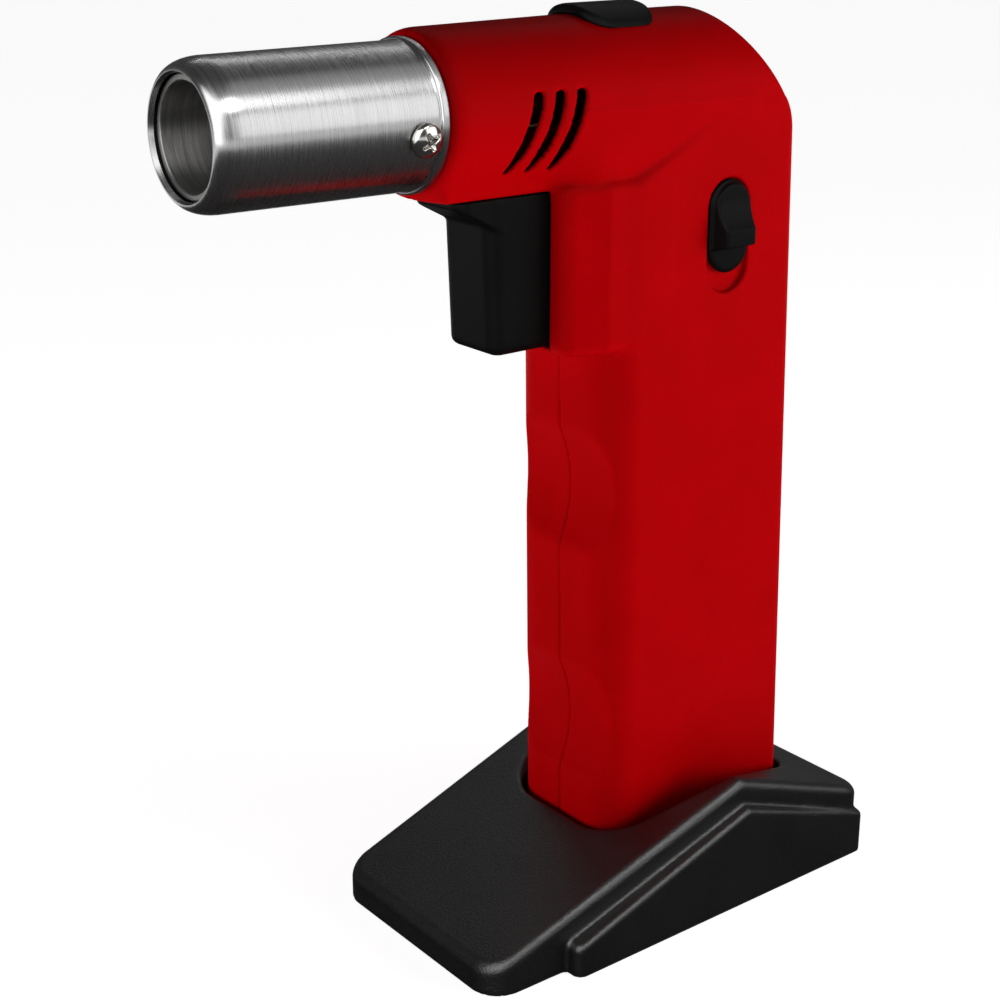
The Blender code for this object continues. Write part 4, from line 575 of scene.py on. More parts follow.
def housing_half(side):
    """Field of one housing half: shell and screw bosses, less every opening, kept on its own side."""

    def field(x, y, z):
        skin = housing_skin(x, y, z)
        patch = both(slab(x, *VENT_PATCH_X), slab(z, *VENT_PATCH_Z), WALL)
        wall = np.clip(VENT_WALL + patch, VENT_WALL, WALL)
        solid = np.maximum(skin, -skin - wall)
        boss_radius = SCREW_BOSS_RADIUS if side > 0 else BOSS_RADIUS
        for screw_x, screw_z in HOUSING_SCREWS:
            boss = np.hypot(x - screw_x, z - screw_z) - boss_radius
            solid = np.minimum(solid, np.maximum(boss, skin))
        solid = less(solid, vent_slots(x, y, z), EDGE_BREAK)
        opening = np.maximum(np.abs(y) - OPENING_HALF, x - OPENING_REAR_X)
        opening = np.maximum(opening, slab(z, BLOCK_BOTTOM_Z + BLOCK_FLOOR, OPENING_TOP_Z))
        solid = less(solid, opening, EDGE_BREAK)
        bore = np.maximum(np.hypot(y, z - AXIS_Z) - SLEEVE_HOLE_RADIUS, x - BODY_FRONT_X - 2 * WALL)
        solid = less(solid, bore, EDGE_BREAK)
        filler = np.maximum(np.hypot(x - FILLER_X, y) - FILLER_HOLE_RADIUS, z - HANDLE_BOTTOM_Z - 2 * WALL)
        solid = less(solid, filler, EDGE_BREAK)
        lock = np.maximum(slab(x, *LOCK_SLOT_X), np.abs(y) - LOCK_SLOT_HALF)
        solid = less(solid, np.maximum(lock, AXIS_Z - z), EDGE_BREAK)
        if side < 0:
            bottom = SLIDER_LOW[2] - SLIDER_TRAVEL - FIT
            outline = upright_slot(x, z, bottom, SLIDER_HIGH[2] + FIT, SLIDER_HALF + FIT)
            solid = less(solid, np.maximum(outline, y + HANDLE_HALF - SLIDER_SINK), EDGE_BREAK)
            window = slab(z, SLIDER_STEM_Z[0] - SLIDER_TRAVEL - FIT, SLIDER_STEM_Z[1] + FIT)
            window = np.maximum(window, np.abs(x - SLIDER_X) - SLIDER_STEM_HALF - FIT)
            solid = np.maximum(solid, -np.maximum(window, y + SLOT_INNER_Y))
        else:
            for screw_x, screw_z in HOUSING_SCREWS:
                around = np.hypot(x - screw_x, z - screw_z)
                sink = np.maximum(around - SCREW_HEAD_RADIUS - FIT, HANDLE_HALF - SCREW_SINK - y)
                solid = less(solid, sink, EDGE_BREAK)
                solid = np.maximum(solid, SCREW_SHANK_RADIUS + FIT - around)
        return np.maximum(solid, SEAM_GAP / 2 - side * y)

    return field


def build_housing(finish):
    for side, node in ((-1, "housing_left"), (1, "housing_right")):
        low, high = limits(node)
        surface = surface_nets(housing_half(side), low, high, HOUSING_STEP)
        add_piece(f"{node}_moulding", surface, finish, node)


# Barrel, burner and screws

def build_barrel(finish):
    inner = BARREL_RADIUS - BARREL_WALL
    shoulder = NOSE_X + NOSE_ROUNDING
    bead_front = BARREL_REAR_X - BARREL_BEAD_LENGTH
    edge = BARREL_BEAD_EDGE
    drop = BARREL_NOSE_RADIUS - NOSE_MOUTH_RADIUS
    parts = [[(BARREL_REAR_X, inner)]]
    parts += [arc((BARREL_REAR_X - edge, BARREL_BEAD_RADIUS - edge), edge, edge, 0, 90, 7)]
    parts += [arc((bead_front + edge, BARREL_BEAD_RADIUS - edge), edge, edge, 90, 180, 7)]
    parts += [[(bead_front, BARREL_RADIUS + BEAD_FILLET), (bead_front - BEAD_FILLET_LENGTH, BARREL_RADIUS)]]
    run = np.linspace(bead_front - BARREL_RUN_ENDS[0], shoulder + BARREL_RUN_ENDS[1], 24)
    share = (run - shoulder) / (BARREL_REAR_X - shoulder)
    parts += [np.stack([run, BARREL_NOSE_RADIUS + share * (BARREL_RADIUS - BARREL_NOSE_RADIUS)], -1)]
    parts += [arc((shoulder, NOSE_MOUTH_RADIUS), NOSE_ROUNDING, drop, 90, 180, 18)]
    inside = (shoulder, NOSE_MOUTH_RADIUS - NOSE_INNER_DROP)
    parts += [arc(inside, NOSE_ROUNDING - BARREL_WALL, drop, 180, 90, 12)]
    profile = np.concatenate([np.asarray(part, float) for part in parts])[::-1]
    surface = turned_surface(profile, BARREL_SIDES, (0, 0, AXIS_Z))
    add_piece("barrel_sleeve_drawn", surface, finish, "barrel", TURNED_CREASE_DEG)


def build_burner(tube_finish, holder_finish):
    front, rear = BURNER_LOW[0], BURNER_HIGH[0]
    edge = BURNER_EDGE
    parts = [[(rear, BURNER_BORE), (rear, BURNER_RADIUS)]]
    parts += [arc((front + edge, BURNER_RADIUS - edge), edge, edge, 90, 180, 5)]
    parts += [arc((front + edge, BURNER_BORE + edge), edge, edge, 180, 270, 5)]
    profile = np.concatenate([np.asarray(part, float) for part in parts])[::-1]
    surface = turned_surface(profile, BURNER_SIDES, (0, 0, AXIS_Z))
    add_piece("burner_tube_cut", surface, tube_finish, "burner_tube", TURNED_CREASE_DEG)

    def holder(x, y, z):
        """A thick disc with a middle bore, a ring of gas ports and one wider port for the spark."""
        around = np.hypot(y, z - AXIS_Z)
        disc = both(around - HOLDER_HIGH[1], slab(x, HOLDER_LOW[0], HOLDER_HIGH[0]), HOLDER_EDGE)
        disc = less(disc, around - HOLDER_BORE, EDGE_BREAK)
        for port in range(HOLDER_PORTS):
            angle = 2 * math.pi * port / HOLDER_PORTS
            port_y = HOLDER_PORT_CIRCLE * math.sin(angle)
            port_z = AXIS_Z + HOLDER_PORT_CIRCLE * math.cos(angle)
            radius = HOLDER_PORT_RADIUS if port else SPARK_PORT_RADIUS
            disc = less(disc, np.hypot(y - port_y, z - port_z) - radius, EDGE_BREAK)
        return disc

    surface = surface_nets(holder, HOLDER_LOW, HOLDER_HIGH, HOLDER_STEP)
    add_piece("flame_holder_disc", surface, holder_finish, "flame_holder")


def screw_field(radius, inner, seat, turn_deg):
    """Field of a pan-head screw along its own axis w: a domed head with a tapered cross recess, and a
    plain shank."""
    turn = math.radians(turn_deg)

    def field(u, v, w):
        around = np.hypot(u, v)
        dome_radius = (radius ** 2 + SCREW_HEAD_HEIGHT ** 2) / (2 * SCREW_HEAD_HEIGHT) + SCREW_DOME_EXTRA
        dome = np.sqrt(around ** 2 + (w - seat - SCREW_HEAD_HEIGHT + dome_radius) ** 2) - dome_radius
        head = both(both(dome, around - radius, SCREW_HEAD_EDGE), seat - w, SCREW_SEAT_EDGE)
        shank = np.maximum(around - SCREW_SHANK_RADIUS, slab(w, inner, seat + SCREW_SHANK_OVERLAP))
        a = np.abs(u * math.cos(turn) + v * math.sin(turn))
        b = np.abs(v * math.cos(turn) - u * math.sin(turn))
        deep = seat + SCREW_HEAD_HEIGHT - w
        taper = 1 - SCREW_RECESS_TAPER * deep / SCREW_RECESS_DEPTH
        long_side, short_side = np.maximum(a, b), np.minimum(a, b)
        wing = long_side - SCREW_RECESS_REACH * taper
        wing = np.maximum(wing, short_side - SCREW_RECESS_WIDTH / 2 * taper)
        core = around - SCREW_RECESS_WIDTH * SCREW_RECESS_CORE * taper
        recess = np.maximum(either(wing, core, SCREW_RECESS_BLEND), deep - SCREW_RECESS_DEPTH)
        return less(np.minimum(head, shank), recess, SCREW_RECESS_EDGE)

    return field


def build_screws(finish):
    reach = BARREL_SCREW_RADIUS
    seat = BARREL_RADIUS + FIT
    inner = SLEEVE_BORE - 1
    low, high = (-reach, -reach, inner), (reach, reach, seat + SCREW_HEAD_HEIGHT)
    points, quads = surface_nets(screw_field(reach, inner, seat, SCREW_TURN_DEG), low, high, SCREW_STEP)
    drop = math.radians(SCREW_DROP_DEG)
    place = np.array([BARREL_REAR_X - SCREW_SETBACK, 0, AXIS_Z])
    for number, side in ((1, -1), (2, 1)):
        out = np.array([0, side * math.cos(drop), -math.sin(drop)])
        along = np.array([1.0, 0, 0])
        frame_axes = np.array([along, np.cross(out, along), out])
        add_piece(f"barrel_screw_head_{number}", (place + points @ frame_axes, quads), finish,
                  f"barrel_screw_{number}")
    for number, (x, z) in enumerate(HOUSING_SCREWS, 1):
        low, high = limits(f"housing_screw_{number}")
        seat = HANDLE_HALF - SCREW_SINK + FIT
        corner = (-reach, -reach, low[1])
        field = screw_field(SCREW_HEAD_RADIUS, low[1], seat, SCREW_TURN_DEG * number)
        points, quads = surface_nets(field, corner, (reach, reach, high[1]), 2 * SCREW_STEP)
        frame_axes = np.array([[1.0, 0, 0], [0, 0, -1], [0, 1, 0]])
        surface = (np.array([x, 0, z]) + points @ frame_axes, quads)
        add_piece(f"housing_screw_head_{number}", surface, finish, f"housing_screw_{number}")


# Trigger, slider and lock button

def trigger_field(x, y, z):
    """A leaning block with round front edges and a wedge lip under the chin, hollow behind."""
    top = TRIGGER_HIGH[2]
    bottom = TRIGGER_LOW[2]
    front = TRIGGER_FRONT_X - TRIGGER_LEAN * (z - bottom) / (top - bottom)
    middle = (front + TRIGGER_REAR_X) / 2
    half = (TRIGGER_REAR_X - front) / 2
    radius = np.where(x < middle, TRIGGER_ROUND, TRIGGER_EDGE)
    plan = corner_box(x - middle, y, half, TRIGGER_HALF, radius)
    block = both(plan, bottom - z, TRIGGER_BOTTOM_ROUND)
    block = both(block, z - top, TRIGGER_EDGE)
    run = TRIGGER_FRONT_X - TRIGGER_LIP_X
    rise = TRIGGER_LIP_ROOT - TRIGGER_LIP_TIP
    under = top - TRIGGER_LIP_TIP - (x - TRIGGER_LIP_X) * rise / run - z
    lip_middle = (TRIGGER_LIP_X + TRIGGER_REAR_X) / 2
    lip_half = (TRIGGER_REAR_X - TRIGGER_LIP_X) / 2
    lip = corner_box(x - lip_middle, y, lip_half, TRIGGER_HALF - TRIGGER_LIP_INSET, TRIGGER_ROUND)
    lip = both(both(lip, under, TRIGGER_LIP_EDGE), z - top, TRIGGER_EDGE)
    lip = np.maximum(lip, x - TRIGGER_FRONT_X - TRIGGER_WALL)
    whole = either(block, lip, TRIGGER_LIP_BLEND)
    pocket = np.maximum(np.abs(y) - TRIGGER_HALF + TRIGGER_WALL, TRIGGER_FRONT_X + TRIGGER_WALL - x)
    pocket = np.maximum(pocket, slab(z, bottom + TRIGGER_WALL, top - TRIGGER_WALL))
    whole = less(whole, pocket, TRIGGER_POCKET_EDGE)
    pad = np.maximum(slab(x, TRIGGER_FRONT_X + 1, TRIGGER_HIGH[0]), np.abs(y) - TRIGGER_PAD_HALF)
    return np.minimum(whole, both(pad, slab(z, *TRIGGER_PAD_Z), TRIGGER_PAD_EDGE))


def slider_field(x, y, z):
    """A plate with round ends and a raised thumb pad: a scoop that climbs to a flat crest, then falls."""
    face = HANDLE_HALF + SLIDER_PROUD
    floor = HANDLE_HALF - SLIDER_SINK + FIT
    bottom, top = SLIDER_LOW[2], SLIDER_HIGH[2]
    outline = upright_slot(x, z, bottom, top, SLIDER_HALF)
    plate = both(outline, slab(-y, floor, face), SLIDER_EDGE)
    low, high = SLIDER_CREST_Z
    climb = np.clip((z - high) / SLIDER_SCOOP, 0, 1)
    fall = np.clip((low - z) / SLIDER_FALL, 0, 1)
    rise = SLIDER_PAD_HEIGHT + (SLIDER_CREST_HEIGHT - SLIDER_PAD_HEIGHT) * (1 - climb) ** 2
    height = np.where(z > high, rise, SLIDER_CREST_HEIGHT * (1 - fall * fall * (3 - 2 * fall)))
    rim = upright_slot(x, z, bottom + SLIDER_RIM, top - SLIDER_RIM, SLIDER_HALF - SLIDER_RIM)
    draft = SLIDER_PAD_DRAFT * np.maximum(-y - face, 0)
    pad = both((-y - face - height) * SLIDER_PAD_EVEN, rim + draft, SLIDER_PAD_EDGE)
    whole = either(plate, np.maximum(pad, floor + y), SLIDER_PAD_BLEND)
    inner = HANDLE_HALF - WALL - FIT
    stem = np.maximum(np.abs(x - SLIDER_X) - SLIDER_STEM_HALF, slab(z, *SLIDER_STEM_Z))
    stem = np.maximum(stem, slab(-y, inner - SLIDER_STEM_DEPTH, floor + SLIDER_STEM_OVERLAP))
    below, above = SLIDER_CLIP_REACH
    clip = slab(z, SLIDER_STEM_Z[0] - below, SLIDER_STEM_Z[1] + above)
    clip = np.maximum(np.abs(x - SLIDER_X) - SLIDER_HALF + SLIDER_CLIP_INSET, clip)
    clip = np.maximum(clip, slab(-y, inner - SLIDER_CLIP_THICK, inner))
    return np.minimum(whole, np.minimum(stem, clip))


def lock_field(x, y, z):
    """A crowned button with round corners that saddles the round body, on a short stem."""
    front, rear = LOCK_X
    slope = LOCK_DRAFT * np.maximum(LOCK_TOP_Z - z, 0)
    plan = corner_box(x - (front + rear) / 2, y, (rear - front) / 2, LOCK_HALF, LOCK_ROUND)
    crown = np.hypot(y, z - LOCK_TOP_Z + LOCK_CROWN) - LOCK_CROWN
    button = both(plan + 3 * LOCK_DRAFT - slope, crown, LOCK_EDGE)
    button = np.maximum(button, LOCK_CLEAR - round_body(x, y, z))
    button = np.maximum(button, AXIS_Z - z)
    stem = np.maximum(slab(x, *LOCK_STEM_X), np.abs(y) - LOCK_STEM_HALF)
    return np.minimum(button, np.maximum(stem, slab(z, LOCK_LOW[2], LOCK_TOP_Z - 2 * LOCK_EDGE)))


def build_controls(finish):
    surface = surface_nets(trigger_field, TRIGGER_LOW, TRIGGER_HIGH, TRIGGER_STEP)
    add_piece("trigger_moulding", surface, finish, "trigger")
    crest = np.array([0, HANDLE_HALF + SLIDER_PROUD + SLIDER_CREST_HEIGHT + SLIDER_LOW[1], 0])
    surface = surface_nets(slider_field, SLIDER_LOW - crest, SLIDER_HIGH, SLIDER_STEP)
    add_piece("flame_slider_moulding", surface, finish, "flame_slider")
    low = (LOCK_X[0], -LOCK_HALF, LOCK_LOW[2])
    high = (LOCK_X[1], LOCK_HALF, LOCK_TOP_Z)
    surface = surface_nets(lock_field, low, high, LOCK_STEP)
    add_piece("lock_button_moulding", surface, finish, "lock_button")


def coil_surface(centre, radius, wire, low, high, turns, along):
    """A wire wound round an axis: at angle t, radius times (cos t, sin t), with a slow rise in the closed
    end turns."""
    per_turn, sides = COIL_STEPS, COIL_SIDES
    done = np.arange(round((turns + 2 * SPRING_CLOSED_TURNS) * per_turn) + 1) / per_turn
    slow = SPRING_CLOSED_PITCH * wire
    pitch = (high - low - 2 * wire - 2 * SPRING_CLOSED_TURNS * slow) / turns
    open_part = np.clip(done - SPRING_CLOSED_TURNS, 0, turns)
    rise = low + wire + slow * (done - open_part) + pitch * open_part
    angle = 2 * np.pi * done[:, None]
    across = 2 * np.pi * np.arange(sides) / sides
    reach = radius + wire * np.cos(across)
    points = np.empty((len(done), sides, 3))
    points[:, :, along] = rise[:, None] + wire * np.sin(across)
    points[:, :, (along + 1) % 3] = centre[(along + 1) % 3] + reach * np.cos(angle)
    points[:, :, (along + 2) % 3] = centre[(along + 2) % 3] + reach * np.sin(angle)
    rows = np.arange(len(done) - 1)[:, None] * sides
    columns = np.arange(sides)[None, :]
    beside = (columns + 1) % sides
    walls = np.stack([rows + columns, rows + beside, rows + sides + beside, rows + sides + columns], -1)
    cap = np.array([(0, k, k + 1, k + 2) for k in range(1, sides - 2, 2)])
    quads = np.concatenate([walls.reshape(-1, 4), cap[:, ::-1], cap + (len(done) - 1) * sides])
    return points.reshape(-1, 3), quads


def build_springs(finish):
    """Wound springs, each filling its node's box along the spring's axis."""
    for node, spring in (("trigger_spring", TRIGGER_SPRING), ("filler_spring", FILLER_SPRING)):
        low, high = limits(node)
        along, wire = spring["along"], spring["wire"]
        centre = (low + high) / 2
        radius = (high - low)[(along + 1) % 3] / 2 - wire
        surface = coil_surface(centre, radius, wire, low[along], high[along], spring["turns"], along)
        piece = add_piece(f"{node}_coil", surface, finish, node)
        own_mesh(piece)


# Stand

def stand_height(x):
    """Height of the stand's upper surface: two straight slopes that meet at the peak."""
    climb = STAND_EDGE_HEIGHT + STAND_SLOPE * (x - STAND_LOW[0])
    peak = STAND_EDGE_HEIGHT + STAND_SLOPE * (STAND_PEAK_X - STAND_LOW[0])
    share = (x - STAND_PEAK_X) / (STAND_HIGH[0] - STAND_PEAK_X)
    return np.minimum(climb, peak + share * (STAND_REAR_HEIGHT - peak))


def stand_plan(x, y, front, rear, halves, corner):
    """Distance in plan to the stand's outline, whose half width runs straight between three places."""
    low, middle, high = halves
    half = np.interp(x, (STAND_LOW[0], STAND_PEAK_X, STAND_HIGH[0]), (low, middle, high))
    return corner_box(x - (front + rear) / 2, np.abs(y) - half + high, (rear - front) / 2, high, corner)


def stand_field(x, y, z):
    """The wedge and its lower side wings with rounded edges, less the hollow below, the socket and the
    foot pockets."""
    front, rear = STAND_LOW[0], STAND_HIGH[0]
    bottom = STAND_LOW[2]
    level = math.hypot(1, STAND_SLOPE)
    above = (z - stand_height(x)) / level
    halves = (STAND_FRONT_HALF, STAND_PEAK_HALF, STAND_REAR_HALF)
    plan = stand_plan(x, y, front, rear, halves, STAND_CORNER)
    wedge = both(plan, above, STAND_EDGE)
    wing_rear = rear - WING_REAR_SETBACK
    wing_plan = stand_plan(x, y, WING_FRONT_X, wing_rear, (WING_HALF, WING_HALF, WING_HALF), WING_CORNER)
    wing = both(wing_plan, above + WING_DROP / level, WING_EDGE)
    whole = both(either(wedge, wing, WING_BLEND), bottom - z, STAND_FOOT_EDGE)
    inner = [half - STAND_WALL for half in halves]
    hollow = stand_plan(x, y, front + STAND_WALL, rear - STAND_WALL, inner, STAND_CORNER / 2)
    hollow = np.maximum(hollow, above + (STAND_WALL + WING_DROP / 2) / level)
    socket_wall = handle_section(x, y, z, SOCKET_CLEAR + STAND_WALL)
    hollow = np.maximum(hollow, -np.maximum(socket_wall, SOCKET_FLOOR_Z - SOCKET_FLOOR - z))
    for foot_x, foot_y in FOOT_PLACES:
        post = np.hypot(x - foot_x, y - foot_y) - FOOT_RADIUS - FOOT_POST
        hollow = np.maximum(hollow, -post)
    whole = np.maximum(whole, -hollow)
    lead = SOCKET_LEAD_SLOPE * np.maximum(z - SOCKET_LEAD_Z, 0)
    socket = np.maximum(handle_section(x, y, z, SOCKET_CLEAR) - lead, SOCKET_FLOOR_Z - z)
    whole = less(whole, socket, SOCKET_EDGE)
    for foot_x, foot_y in FOOT_PLACES:
        pocket = np.hypot(x - foot_x, y - foot_y) - FOOT_RADIUS - FIT
        whole = np.maximum(whole, -np.maximum(pocket, z - FOOT_HEIGHT - FIT))
    return whole


def build_stand(finish, foot_finish):
    surface = surface_nets(stand_field, STAND_LOW, STAND_HIGH, STAND_STEP)
    add_piece("stand_moulding", surface, finish, "stand_base")
    edge = FOOT_EDGE
    for number, (x, y) in enumerate(FOOT_PLACES, 1):
        parts = [[(FOOT_HEIGHT, 0.01), (FOOT_HEIGHT, FOOT_RADIUS)]]
        parts += [arc((edge, FOOT_RADIUS - edge), edge, edge, 90, 180, 6), [(0, 0.01)]]
        profile = np.concatenate([np.asarray(part, float) for part in parts])[::-1]
        surface = turned_surface(profile, FOOT_SIDES, (x, y, 0), 2)
        add_piece(f"stand_foot_pad_{number}", surface, foot_finish, f"stand_foot_{number}",
                  TURNED_CREASE_DEG)


# Finishes

def linear(hex_text):
    """An sRGB hex colour as linear red, green, blue and alpha."""
    parts = np.array([int(hex_text[i:i + 2], 16) for i in (1, 3, 5)]) / 255
    bent = np.where(parts <= 0.04045, parts / 12.92, ((parts + 0.055) / 1.055) ** 2.4)
    return (*(float(part) for part in bent), 1.0)


def add_node(tree, kind, values=None, links=None, **settings):
    """Adds a node; values fill its inputs, links feed them from (node, output) pairs."""
    made = tree.nodes.new(kind)
    for name, value in settings.items():
        setattr(made, name, value)
    for name, value in (values or {}).items():
        made.inputs[name].default_value = value
    for name, (source, output) in (links or {}).items():
        tree.links.new(source.outputs[output], made.inputs[name])
    return made


def new_material(name, colour, roughness, metallic=0.0):
    """A material with a Principled shader; gives the material, its tree and the shader."""
    made = bpy.data.materials.new(name)
    made.use_nodes = True
    shader = made.node_tree.nodes["Principled BSDF"]
    shader.inputs["Base Color"].default_value = linear(colour)
    shader.inputs["Roughness"].default_value = roughness
    shader.inputs["Metallic"].default_value = metallic
    made.diffuse_color = linear(colour)
    return made, made.node_tree, shader


def grain(tree, shader, size_mm, depth_mm, rough_low, rough_high):
    """Moulded grain: fine noise that moves the surface by depth, and slow noise that varies the gloss."""
    spot = add_node(tree, "ShaderNodeTexCoord")
    values = {"Scale": 1 / (size_mm * MM), "Detail": 3.0, "Roughness": 0.6}
    fine = add_node(tree, "ShaderNodeTexNoise", values, {"Vector": (spot, "Object")})
    values = {"Strength": 1.0, "Distance": depth_mm * MM}
    bump = add_node(tree, "ShaderNodeBump", values, {"Height": (fine, "Fac")})
    tree.links.new(bump.outputs["Normal"], shader.inputs["Normal"])
    values = {"Scale": 1 / (14 * MM), "Detail": 4.0}
    slow = add_node(tree, "ShaderNodeTexNoise", values, {"Vector": (spot, "Object")})
    gloss = add_node(tree, "ShaderNodeMapRange", {"From Min": 0.3, "From Max": 0.7, "To Min": rough_low,
                                                  "To Max": rough_high}, {"Value": (slow, "Fac")})
    tree.links.new(gloss.outputs["Result"], shader.inputs["Roughness"])
    return spot, fine, slow


def tint(tree, shader, source, low_colour, high_colour, low=0.3, high=0.7):
    """Base colour that runs between two shades with a noise node's value."""
    ramp = add_node(tree, "ShaderNodeValToRGB", None, {"Fac": (source, "Fac")})
    ramp.color_ramp.elements[0].position = low
    ramp.color_ramp.elements[1].position = high
    ramp.color_ramp.elements[0].color = linear(low_colour)
    ramp.color_ramp.elements[1].color = linear(high_colour)
    tree.links.new(ramp.outputs["Color"], shader.inputs["Base Color"])


def satin_red_abs():
    """Red ABS from a lightly etched mould: even deep colour and a soft wide sheen."""
    made, tree, shader = new_material("satin_red_abs", "#C40006", 0.45)
    shader.inputs["Specular IOR Level"].default_value = 0.008
    _, _, slow = grain(tree, shader, 0.45, 0.004, 0.4, 0.48)
    tint(tree, shader, slow, "#C00005", "#C80008")
    return made


def etched_black_abs():
    """Black ABS from a coarse spark-etched mould: the grain breaks highlights into fine specks."""
    made, tree, shader = new_material("etched_black_abs", "#121212", 0.5)
    shader.inputs["Specular IOR Level"].default_value = 0.9
    _, fine, _ = grain(tree, shader, 0.45, 0.11, 0.34, 0.42)
    tint(tree, shader, fine, "#020202", "#0A0A0A", 0.4, 0.62)
    return made


def smooth_black_abs():
    """Black ABS from a fine matt mould: nearly even, with a faint grain."""
    made, tree, shader = new_material("smooth_black_abs", "#141414", 0.5)
    shader.inputs["Specular IOR Level"].default_value = 0.06
    _, _, slow = grain(tree, shader, 0.35, 0.006, 0.46, 0.54)
    tint(tree, shader, slow, "#0B0B0B", "#101010")
    return made


def hairline(name, dark, light, rough_low, rough_high, spacing_mm):
    """Stainless steel brushed round its axis: fine lines round the barrel, which smear light along the axis.

    Real hairlines are about 0.05 mm apart; they are drawn wider so that they show in the render.
    """
    made, tree, shader = new_material(name, light, rough_low, 1.0)
    shader.inputs["Anisotropic"].default_value = 0.75
    shader.inputs["Anisotropic Rotation"].default_value = 0.25
    around = add_node(tree, "ShaderNodeTangent", direction_type="RADIAL", axis="X")
    tree.links.new(around.outputs["Tangent"], shader.inputs["Tangent"])
    spot = add_node(tree, "ShaderNodeTexCoord")
    across = 1 / (spacing_mm * MM)
    along = 1 / (12 * MM)
    stretch = add_node(tree, "ShaderNodeMapping", {"Scale": (across, along, along)},
                       {"Vector": (spot, "Object")})
    lines = add_node(tree, "ShaderNodeTexNoise", {"Scale": 1.0, "Detail": 5.0, "Roughness": 0.7},
                     {"Vector": (stretch, "Vector")})
    tint(tree, shader, lines, dark, light, 0.32, 0.68)
    gloss = add_node(tree, "ShaderNodeMapRange", {"From Min": 0.3, "From Max": 0.7, "To Min": rough_low,
                                                  "To Max": rough_high}, {"Value": (lines, "Fac")})
    tree.links.new(gloss.outputs["Result"], shader.inputs["Roughness"])
    bump = add_node(tree, "ShaderNodeBump", {"Strength": 0.6, "Distance": 0.004 * MM},
                    {"Height": (lines, "Fac")})
    tree.links.new(bump.outputs["Normal"], shader.inputs["Normal"])
    return made


def plated_steel():
    """Nickel-plated steel of the screws: bright and smooth, with small smears."""
    made, tree, shader = new_material("nickel_plated_steel", "#C9C7C2", 0.16, 1.0)
    grain(tree, shader, 0.5, 0.003, 0.1, 0.24)
    return made


def plain_metal(name, dark, light, roughness):
    """Turned metal inside the torch: an even colour with soft stains."""
    made, tree, shader = new_material(name, light, roughness, 1.0)
    _, _, slow = grain(tree, shader, 0.3, 0.004, roughness - 0.06, roughness + 0.1)
    tint(tree, shader, slow, dark, light)
    return made


def plain_solid(name, dark, light, roughness, size_mm):
    """A non-metal inside the torch or under it: an even colour with a fine grain."""
    made, tree, shader = new_material(name, light, roughness)
    _, _, slow = grain(tree, shader, size_mm, 0.008, roughness - 0.05, roughness + 0.05)
    tint(tree, shader, slow, dark, light)
    return made


def dress_frame(finishes):
    """Gives each CAD node that still shows the finish of its material slot."""
    for part in frame["record"]["subparts"]:
        obj = frame["nodes"][part["node"]]
        obj.data.materials.clear()
        obj.data.materials.append(finishes[part["material_slot"]])


# Studio

def add_light(name, place, target, width, height, power):
    """A soft rectangular lamp that faces a point."""
    lamp = bpy.data.lights.new(name, "AREA")
    lamp.shape = "RECTANGLE"
    lamp.size = width
    lamp.size_y = height
    lamp.energy = power
    obj = bpy.data.objects.new(name, lamp)
    bpy.context.scene.collection.objects.link(obj)
    obj.location = place
    aim = np.array(target) - np.array(place)
    level = math.hypot(aim[0], aim[1])
    obj.rotation_euler = (math.atan2(level, -aim[2]), 0, math.atan2(-aim[0], aim[1]))
    obj.visible_camera = False
    return obj


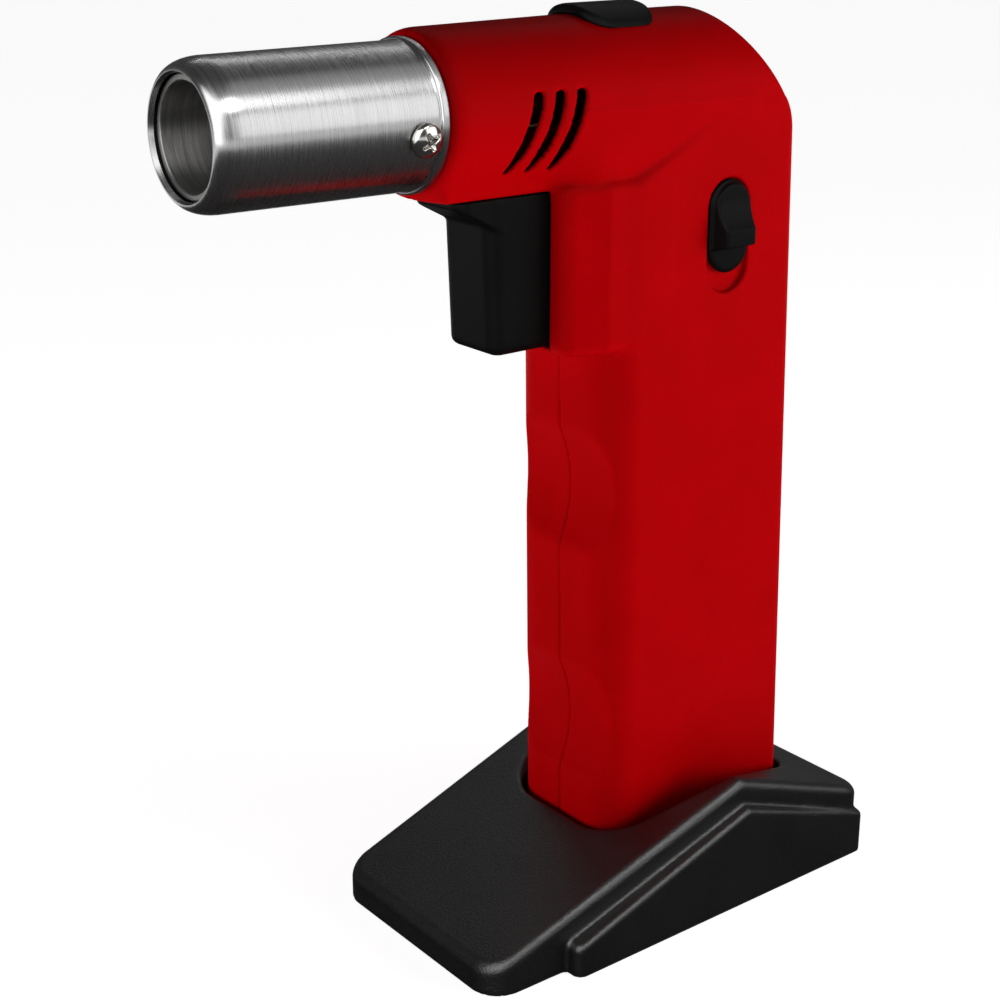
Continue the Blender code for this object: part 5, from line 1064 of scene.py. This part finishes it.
def build_studio():
    scene = bpy.context.scene
    camera = bpy.data.cameras.new("photo_camera")
    camera.lens = CAMERA_LENS
    camera.sensor_width = SENSOR
    camera.clip_start = 0.01
    camera_object = bpy.data.objects.new("photo_camera", camera)
    scene.collection.objects.link(camera_object)
    camera_object.location = CAMERA_PLACE
    camera_object.rotation_euler = (math.radians(CAMERA_PITCH_DEG), 0, math.radians(CAMERA_TURN_DEG))
    scene.camera = camera_object
    scene.view_settings.view_transform = "Standard"

    # The key and the fill light the plastics; the reflectors show only in the metal and in gloss
    key = add_light("key_softbox", (0.5, -0.6, 0.17), (0.02, 0, 0.1), 0.6, 0.5, 3.6)
    key.visible_glossy = False
    fill = add_light("fill_softbox", (-0.95, 0.33, 0.12), (0.0, 0, 0.1), 0.8, 0.4, 4.0)
    fill.visible_glossy = False
    for name, place, width, height, power in (
            ("side_reflector", (0.6, -0.86, 0.47), 1.0, 0.58, 3.5),
            ("upper_reflector", (0.55, -0.42, 0.95), 0.8, 0.7, 0.8),
            ("nose_reflector", (-0.68, -0.45, 0.55), 1.1, 1.1, 11.0),
            ("edge_reflector", (0.12, -0.6, 0.82), 0.26, 0.26, 2.4),
            ("rim_strip", (0.5, 0.5, 0.8), 0.8, 0.03, 0.6)):
        reflector = add_light(name, place, LAMP_TARGET, width, height, power)
        reflector.visible_diffuse = False

    mesh = bpy.data.meshes.new("floor")
    reach = FLOOR_REACH
    corners = [(-reach, -reach, 0), (reach, -reach, 0), (reach, reach, 0), (-reach, reach, 0)]
    mesh.from_pydata(corners, [], [(0, 1, 2, 3)])
    floor = bpy.data.objects.new("floor", mesh)
    scene.collection.objects.link(floor)
    made, tree, shader = new_material("pale_floor", "#D8D8D8", 0.9)
    shader.inputs["Specular IOR Level"].default_value = 0.0
    path = add_node(tree, "ShaderNodeLightPath")
    links = {0: (path, "Is Camera Ray"), 1: (path, "Is Transmission Ray")}
    seen = add_node(tree, "ShaderNodeMath", None, links, operation="MAXIMUM")
    links = {0: (seen, "Value"), 1: (path, "Is Glossy Ray")}
    seen = add_node(tree, "ShaderNodeMath", None, links, operation="MAXIMUM")
    values = {"To Min": FLOOR_GLOW_BOUNCE, "To Max": FLOOR_GLOW_SEEN}
    glow = add_node(tree, "ShaderNodeMapRange", values, {"Value": (seen, "Value")})
    shader.inputs["Emission Color"].default_value = (1, 1, 1, 1)
    tree.links.new(glow.outputs["Result"], shader.inputs["Emission Strength"])
    mesh.materials.append(made)

    # A grey sheet on the floor that only reflections see: a painted dark reflection, which keeps the
    # barrel's underside dark
    mesh = bpy.data.meshes.new("dark_flag")
    mesh.from_pydata([(x, y, FLAG_Z) for x, y in FLAG_CORNERS], [], [(0, 1, 2, 3)])
    flag = bpy.data.objects.new("dark_flag", mesh)
    scene.collection.objects.link(flag)
    # Painted dark reflection: this sheet shows only in gloss, not to the camera, shadows or diffuse light
    made, tree, shader = new_material("painted_dark_reflection", "#707070", 0.9)
    shader.inputs["Specular IOR Level"].default_value = 0.0
    mesh.materials.append(made)
    flag.visible_camera = False
    flag.visible_shadow = False
    flag.visible_diffuse = False

    world = bpy.data.worlds.new("studio")
    scene.world = world
    world.use_nodes = True
    tree = world.node_tree
    back = tree.nodes["Background"]
    back.inputs["Strength"].default_value = WORLD_STRENGTH
    back.inputs["Color"].default_value = (1, 1, 1, 1)


red = satin_red_abs()
etched = etched_black_abs()
smooth = smooth_black_abs()
brushed = hairline("brushed_stainless", "#A0A0A1", "#BEBEBE", 0.24, 0.32, 0.22)
dulled = hairline("heat_dulled_stainless", "#7A7977", "#9C9B9A", 0.36, 0.45, 0.4)
plated = plated_steel()
brass = plain_metal("heat_dulled_brass", "#4A3A1E", "#6E552C", 0.4)
spring_steel = plain_metal("bright_steel", "#8B8B8B", "#B4B4B2", 0.28)
rubber = plain_solid("black_rubber", "#0E0E0E", "#171717", 0.78, 0.4)
ceramic = plain_solid("fired_ceramic", "#D9D5CB", "#E9E6DE", 0.4, 0.3)
natural = plain_solid("natural_polyacetal", "#C8CCCB", "#DADDDC", 0.35, 0.4)
dress_frame({"red_plastic": red, "black_plastic": smooth, "steel": spring_steel, "brass": brass,
             "black_rubber": rubber, "white_ceramic": ceramic, "natural_plastic": natural})
build_housing(red)
build_barrel(brushed)
build_burner(dulled, brass)
build_screws(plated)
build_controls(smooth)
build_springs(spring_steel)
build_stand(etched, rubber)
build_studio()
